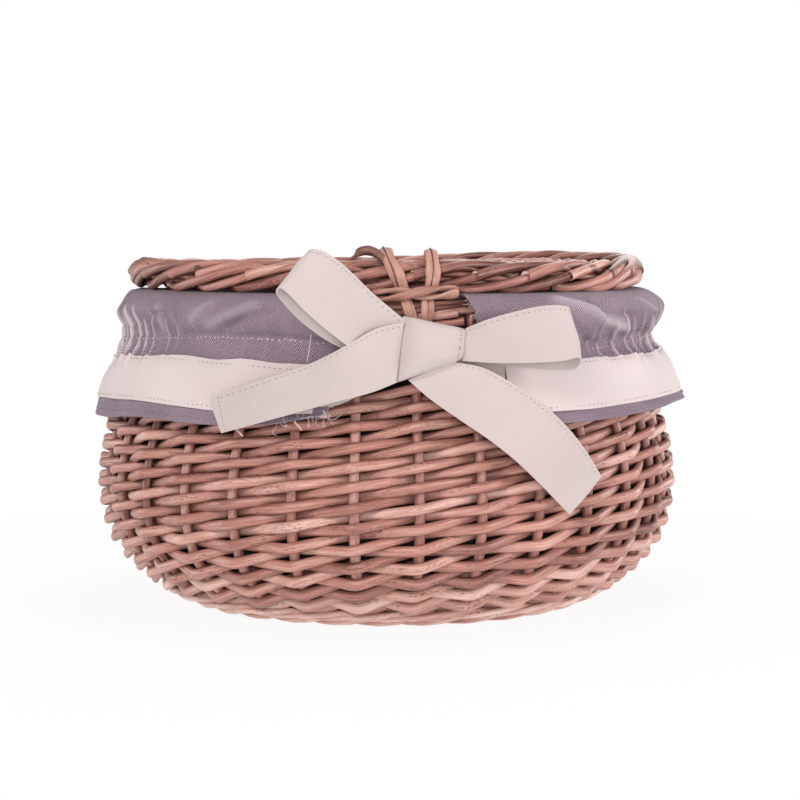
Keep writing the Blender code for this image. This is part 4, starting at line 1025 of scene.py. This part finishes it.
ribbon_piece("bow_tail_right_ribbon", [
    (16.7, -179.7, 154.1, -7.1, -178.9, 144.4), (34.3, -179.6, 150.6, 4.6, -181.4, 134.2),
    (51.7, -178.4, 141.1, 20.7, -183.6, 122.8), (66.3, -174.8, 131.4, 36.3, -182.6, 112.2),
    (79.6, -169.6, 119.8, 52.3, -179.2, 99.6), (93.0, -160.8, 105.0, 68.5, -172.6, 84.4),
    (105.2, -150.6, 87.6, 84.8, -162.8, 68.0)],
    0.9, True, "bow_tail_right")
print("bow loops and tails made")

# %% Ties
ribbon_piece("ribbon_tie_left_strip", [
    (-54.0, -163.6, 152.2, -54.0, -166.4, 127.0), (-38.0, -167.0, 154.5, -38.0, -168.6, 133.0),
    (-20.0, -169.0, 158.0, -20.0, -169.6, 143.0), (-3.0, -169.4, 163.0, -3.0, -169.6, 149.0)],
    0.3, False, "ribbon_tie_left")
ribbon_piece("ribbon_tie_right_strip", [
    (47.6, -165.4, 154.0, 47.6, -168.2, 129.0), (38.0, -167.2, 155.5, 38.0, -169.4, 134.0),
    (29.0, -168.6, 158.5, 29.0, -169.6, 143.5), (20.0, -169.4, 163.0, 20.0, -169.6, 149.0)],
    0.3, True, "ribbon_tie_right")
print("ties made")

# %% [markdown]
# The knot is a turn of the same ribbon drawn round the four others, taller where they
# spread on the left than on the right. It is stuffed by them, so it is a closed tube with capped ends.

# %% Knot
# along the knot: x and z of its lower and its upper edge, and how far its front stands out
rows = spline(mm([(-14.8, 142.3, -9.6, 178.8, 179.6), (-8.3, 144.6, -3.6, 178.0, 185.8),
                  (0.8, 148.0, 4.2, 176.2, 188.0), (9.5, 150.8, 12.3, 174.4, 187.4),
                  (16.7, 152.8, 19.4, 173.0, 185.0), (22.2, 155.4, 24.2, 171.6, 180.6)]), 9)
KNOT_SIDES, KNOT_BACK = 48, 0.1712
t = np.arange(KNOT_SIDES) / KNOT_SIDES * TURN
c, s = np.cos(t), np.sin(t)
round_z = np.sign(s) * np.abs(s) ** 0.62
round_y = np.sign(c) * np.abs(c) ** 0.80
f = np.linspace(0, 1, len(rows))[:, None]
crease = 0.0006 * np.sin(5 * s + 3.2 * f + 0.5) * (c > 0) * c
low_x, low_z, high_x, high_z, front = (rows[:, [k]] for k in range(5))
half_y = (front - KNOT_BACK) / 2
grid = np.stack([(low_x + high_x) / 2 + (high_x - low_x) / 2 * round_z,
                 -(KNOT_BACK + half_y + half_y * round_y + crease),
                 (low_z + high_z) / 2 + (high_z - low_z) / 2 * round_z], -1)
n, m = grid.shape[:2]
tips = np.stack([grid[0].mean(0) + [0.0012, 0, 0], grid[-1].mean(0) - [0.0012, 0, 0]])
own = np.zeros((n * m + 2, 3))
own[:n * m, 0] = np.repeat(np.linspace(0, 0.036, n), m)
own[:n * m, 1] = np.tile(np.sin(t / 2 - 0.8) * 0.045, n)
knot = put(mesh_of("bow_knot_wrap", np.vstack([grid.reshape(-1, 3), tips]), [cells(n, m), caps(n, m)],
                   RIBBON, 55, flat=own), "basket", ["bow_knot"])
facing = KNOT_SIDES - 11 + np.arange(0, 23, 2)
p, q = (grid[-6, (facing + k) % KNOT_SIDES] * [1, 1.0012, 1] for k in (0, 1))
beads("knot_stitches", p, q, np.tile([[1.0, 0, 0]], (len(p), 1)), 0.00045, SHADED, "ribbon")
print("bow made")

# %% [markdown]
# The cut edges of the slit are frayed: loose threads curl from the left hem corner and
# from both edges of the slit, and torn ends of pale sewing thread stand on the cloth.
# Blender's hair would do too, but as thin tubes they can be counted and exported.

# %% Loose threads
NEAR = np.array([0.0, -1.0, 0.3])           # outwards, in front


def fuzz(name, starts, towards, length, curl, d):
    """Thin threads from starts, drifting towards a direction with random curls."""
    parts = []
    f = np.linspace(0, 1, 12)
    for start, way in zip(starts, towards):
        long = length * rng.uniform(0.45, 1.25)
        wander = np.stack([waves(f, 3, 0.4, 1.6) for _ in range(3)], -1)
        wander -= wander[0]
        path = start + way * (long * f)[:, None] + wander * curl * f[:, None]
        path[:, 1] = np.minimum(path[:, 1], start[1] + 0.0006)
        parts.append(tube(path, NEAR, d / 2, d / 2, 0.5, sides=5))
    rods_object(name, parts, THREAD, "basket", ())


def edge_points(side, s0, s1, count, off):
    s = rng.uniform(s0, s1, count)
    return cuff(slit(s)[0] if side > 0 else -slit(s)[1], s, off)


def spread(count, x, z, amount=0.6):
    way = np.array([x, -0.15, z]) + rng.normal(0, amount, (count, 3)) * [1, 0.25, 1]
    return unit(way)


hem_ends = cuff(np.radians(rng.uniform(-26.0, -17.6, 9)), CUFF_END, 0.0003)
corner = np.vstack([edge_points(-1, CUFF_END - 0.008, CUFF_END, 9, 0.0003), hem_ends])
fuzz("frayed_corner", corner, spread(18, 0.3, -0.35, 0.55), 0.0060, 0.0018, 0.00022)
fuzz("frayed_left_edge", edge_points(-1, SEAM_S * 0.55, CUFF_END - 0.010, 30, 0.0003),
     spread(30, 0.7, 0.0, 0.8), 0.0034, 0.0010, 0.00020)
fuzz("frayed_right_edge", edge_points(1, SEAM_S * 0.50, SEAM_S, 12, 0.0003),
     spread(12, -0.6, 0.1, 0.8), 0.0034, 0.0010, 0.00020)
a = np.radians([-31.5, -30.0, -28.8, -27.4, -26.3, -25.2, 13.8, 15.0])
s = SEAM_S * np.array([0.997, 0.992, 0.998, 0.994, 0.999, 0.995, 0.80, 0.72])
fuzz("torn_stitches", cuff(a, s, 0.0006), spread(8, 0.9, -0.1, 0.35), 0.0030, 0.0005, 0.00042)
print("frayed threads made")

# %% [markdown]
# A turn of the lashing stands up at the left of the hinge, and two cut ends of rim rods
# show inside the slit. One thread hangs from the seam, and two thin straws stand off the
# siding. Such small faults make it hand work, so they are laid one by one.

# %% Cut ends and straws
def laid_thread(start, end, d, tone, bow):
    """A short length that lies free, from one place to another, in millimetres."""
    start, end, f = mm(start), mm(end), np.linspace(0, 1, 10)[:, None]
    path = start * (1 - f) + end * f + np.array([0, -bow / 1000, 0]) * np.sin(math.pi * f)
    return tube(path, NEAR, d / 2, d / 2, tone, sides=7)


hook = spline(mm([
    (-35.5, -148.5, 209.0), (-32.8, -149.6, 211.0), (-30.2, -150.8, 213.2), (-26.4, -152.0, 213.9),
    (-22.7, -153.2, 212.9), (-19.7, -153.7, 210.8), (-16.6, -153.6, 208.0), (-13.8, -153.0, 206.0)]), 8)
half = np.interp(np.linspace(0, 1, len(hook)), (0, 0.14, 0.25, 0.45, 0.7, 1),
                 mm((0.8, 1.1, 2.5, 2.9, 2.4, 2.0)))
# the last argument paints shade on the sides that face in
turn_up = tube(hook, np.array([0.0, -1.0, 0.4]), half * 0.85, half, 0.12, sides=12, painted_shade=0.30)
rods_object("lid_strand_end", [turn_up], SPLIT, "lid", ())
end = spline(mm([(6.6, -155.9, 177.5), (16.5, -155.9, 178.5), (23.0, -157.3, 179.6)]), 8)[::-1]
# the last argument paints shade on the sides that face in
rim_ends = [tube(line, np.array([0.0, -1.0, 0.0]), 0.0021, 0.0022, tone, sides=12, painted_shade=0.30)
            for line, tone in ((end, 0.40), (end + [0.0036, 0.0012, -0.0044], 0.34))]
rods_object("rim_rod_ends", rim_ends, BUFF, "basket", ())
hanging = laid_thread((-57.8, -156.4, 168.2), (-60.3, -160.2, 153.6), 0.0005, 0.6, 1.2)
rods_object("hanging_thread", [hanging], THREAD, "basket", ())
straws = [laid_thread((-99.0, -152.0, 116.6), (-95.6, -157.4, 113.0), 0.0010, 0.80, 0.3),
          laid_thread((-68.0, -169.0, 121.6), (-64.4, -173.4, 117.4), 0.0010, 0.78, 0.3)]
rods_object("loose_straws", straws, SPLIT, "basket", ())
print("loose threads made")

# %% [markdown]
# The part stands on a plain pale floor that fades to the white of the background, as on
# a photographer's sweep. The light is soft and comes from all round, a little more from
# the upper left in front, so that the rods are modelled without hard shadows.

# %% Floor
def stage(name, data):
    """An object of the stage, which is no part of the basket."""
    o = bpy.data.objects.new(name, data)
    bpy.context.scene.collection.objects.link(o)
    return o


floor_m, t = blank("pale_paper_floor")
far = node(t, "VectorMath", {"operation": "LENGTH"}, n0=node(t, "TexCoord").outputs["Object"])
share = maths(t, "MULTIPLY_ADD", far.outputs["Value"], 2.0, -0.36)
fade = ramp(t, share, [(0.0, "f4f4f4"), (1.0, "ffffff")])
paper = node(t, "BsdfDiffuse", Color=linear("F4F2F1"))
white = node(t, "Emission", Color=linear("FFFFFF"), Strength=1.0)
both = node(t, "MixShader", n0=fade, n1=paper.outputs[0], n2=white.outputs[0])
node(t, "OutputMaterial", Surface=both.outputs[0])
me = bpy.data.meshes.new("floor")
me.from_pydata([(-9, -9, 0), (9, -9, 0), (9, 9, 0), (-9, 9, 0)], [], [(0, 1, 2, 3)])
me.materials.append(floor_m)
stage("floor", me)
print("floor made")

# %% Background
world = bpy.data.worlds.new("white_room")
world.use_nodes = True
t = world.node_tree
t.nodes.clear()
ray = node(t, "LightPath").outputs
seen = maths(t, "MAXIMUM", ray["Is Camera Ray"], ray["Is Transmission Ray"])
room = node(t, "Background", Color=linear("FBF9FB"), Strength=0.25)
page = node(t, "Background", Color=linear("FFFFFF"), Strength=1.0)
mixed = node(t, "MixShader", n0=seen, n1=room.outputs[0], n2=page.outputs[0])
node(t, "OutputWorld", Surface=mixed.outputs[0])
bpy.context.scene.world = world
print("background made")

# %% Light
# soft boxes: name, place, what they are aimed at, size, power and tint
for name, at, to, size, power, tint in (
        ("key_box", (-0.95, -1.45, 1.10), (0, -0.05, 0.10), 0.55, 17.0, "FFFBF9"),
        ("fill_box", (1.45, -1.00, 0.60), (0, 0, 0.10), 0.70, 15.5, "FFFAFC"),
        ("low_box", (-0.15, -1.60, 0.20), (0, 0, 0.04), 0.60, 7.0, "FFFAF8"),
        ("top_box", (0.15, 0.20, 1.70), (0, 0, 0.15), 0.90, 6.0, "FFFFFF"),
        ("back_box", (0.35, 1.50, 0.85), (0, 0, 0.12), 1.10, 9.0, "FFFFFF"),
        ("right_rim_box", (1.50, 0.55, 0.40), (0.10, 0, 0.10), 0.60, 7.0, "FFFFFF"),
        ("left_rim_box", (-1.50, 0.60, 0.40), (-0.10, 0, 0.10), 0.60, 6.0, "FFFFFF")):
    lamp = bpy.data.lights.new(name, "AREA")
    lamp.shape, lamp.size, lamp.energy, lamp.color = "SQUARE", size, power, linear(tint)[:3]
    o = stage(name, lamp)
    o.location = at
    o.rotation_euler = (Vector(to) - Vector(at)).to_track_quat("-Z", "Y").to_euler()
print("light made")

# %% [markdown]
# The camera stands 1.4 m away and a little above the lid, looking slightly down, six
# degrees to the left of the part's front, with a long lens. These came from the photo:
# the lid's far edge shows just above its near edge.

# %% Camera
lens = bpy.data.cameras.new("camera")
lens.sensor_fit, lens.sensor_width, lens.lens = "HORIZONTAL", 36.0, 102.06
camera = bpy.data.objects.new("camera", lens)
camera.location = (-0.1463, -1.3833, 0.2278)
camera.rotation_euler = (math.radians(90 - 4.41), 0.0, math.radians(-6.34))
bpy.context.scene.collection.objects.link(camera)
bpy.context.scene.camera = camera
bpy.context.scene.view_settings.view_transform = "Standard"
print("camera", round(camera.location.length, 2), "m away")
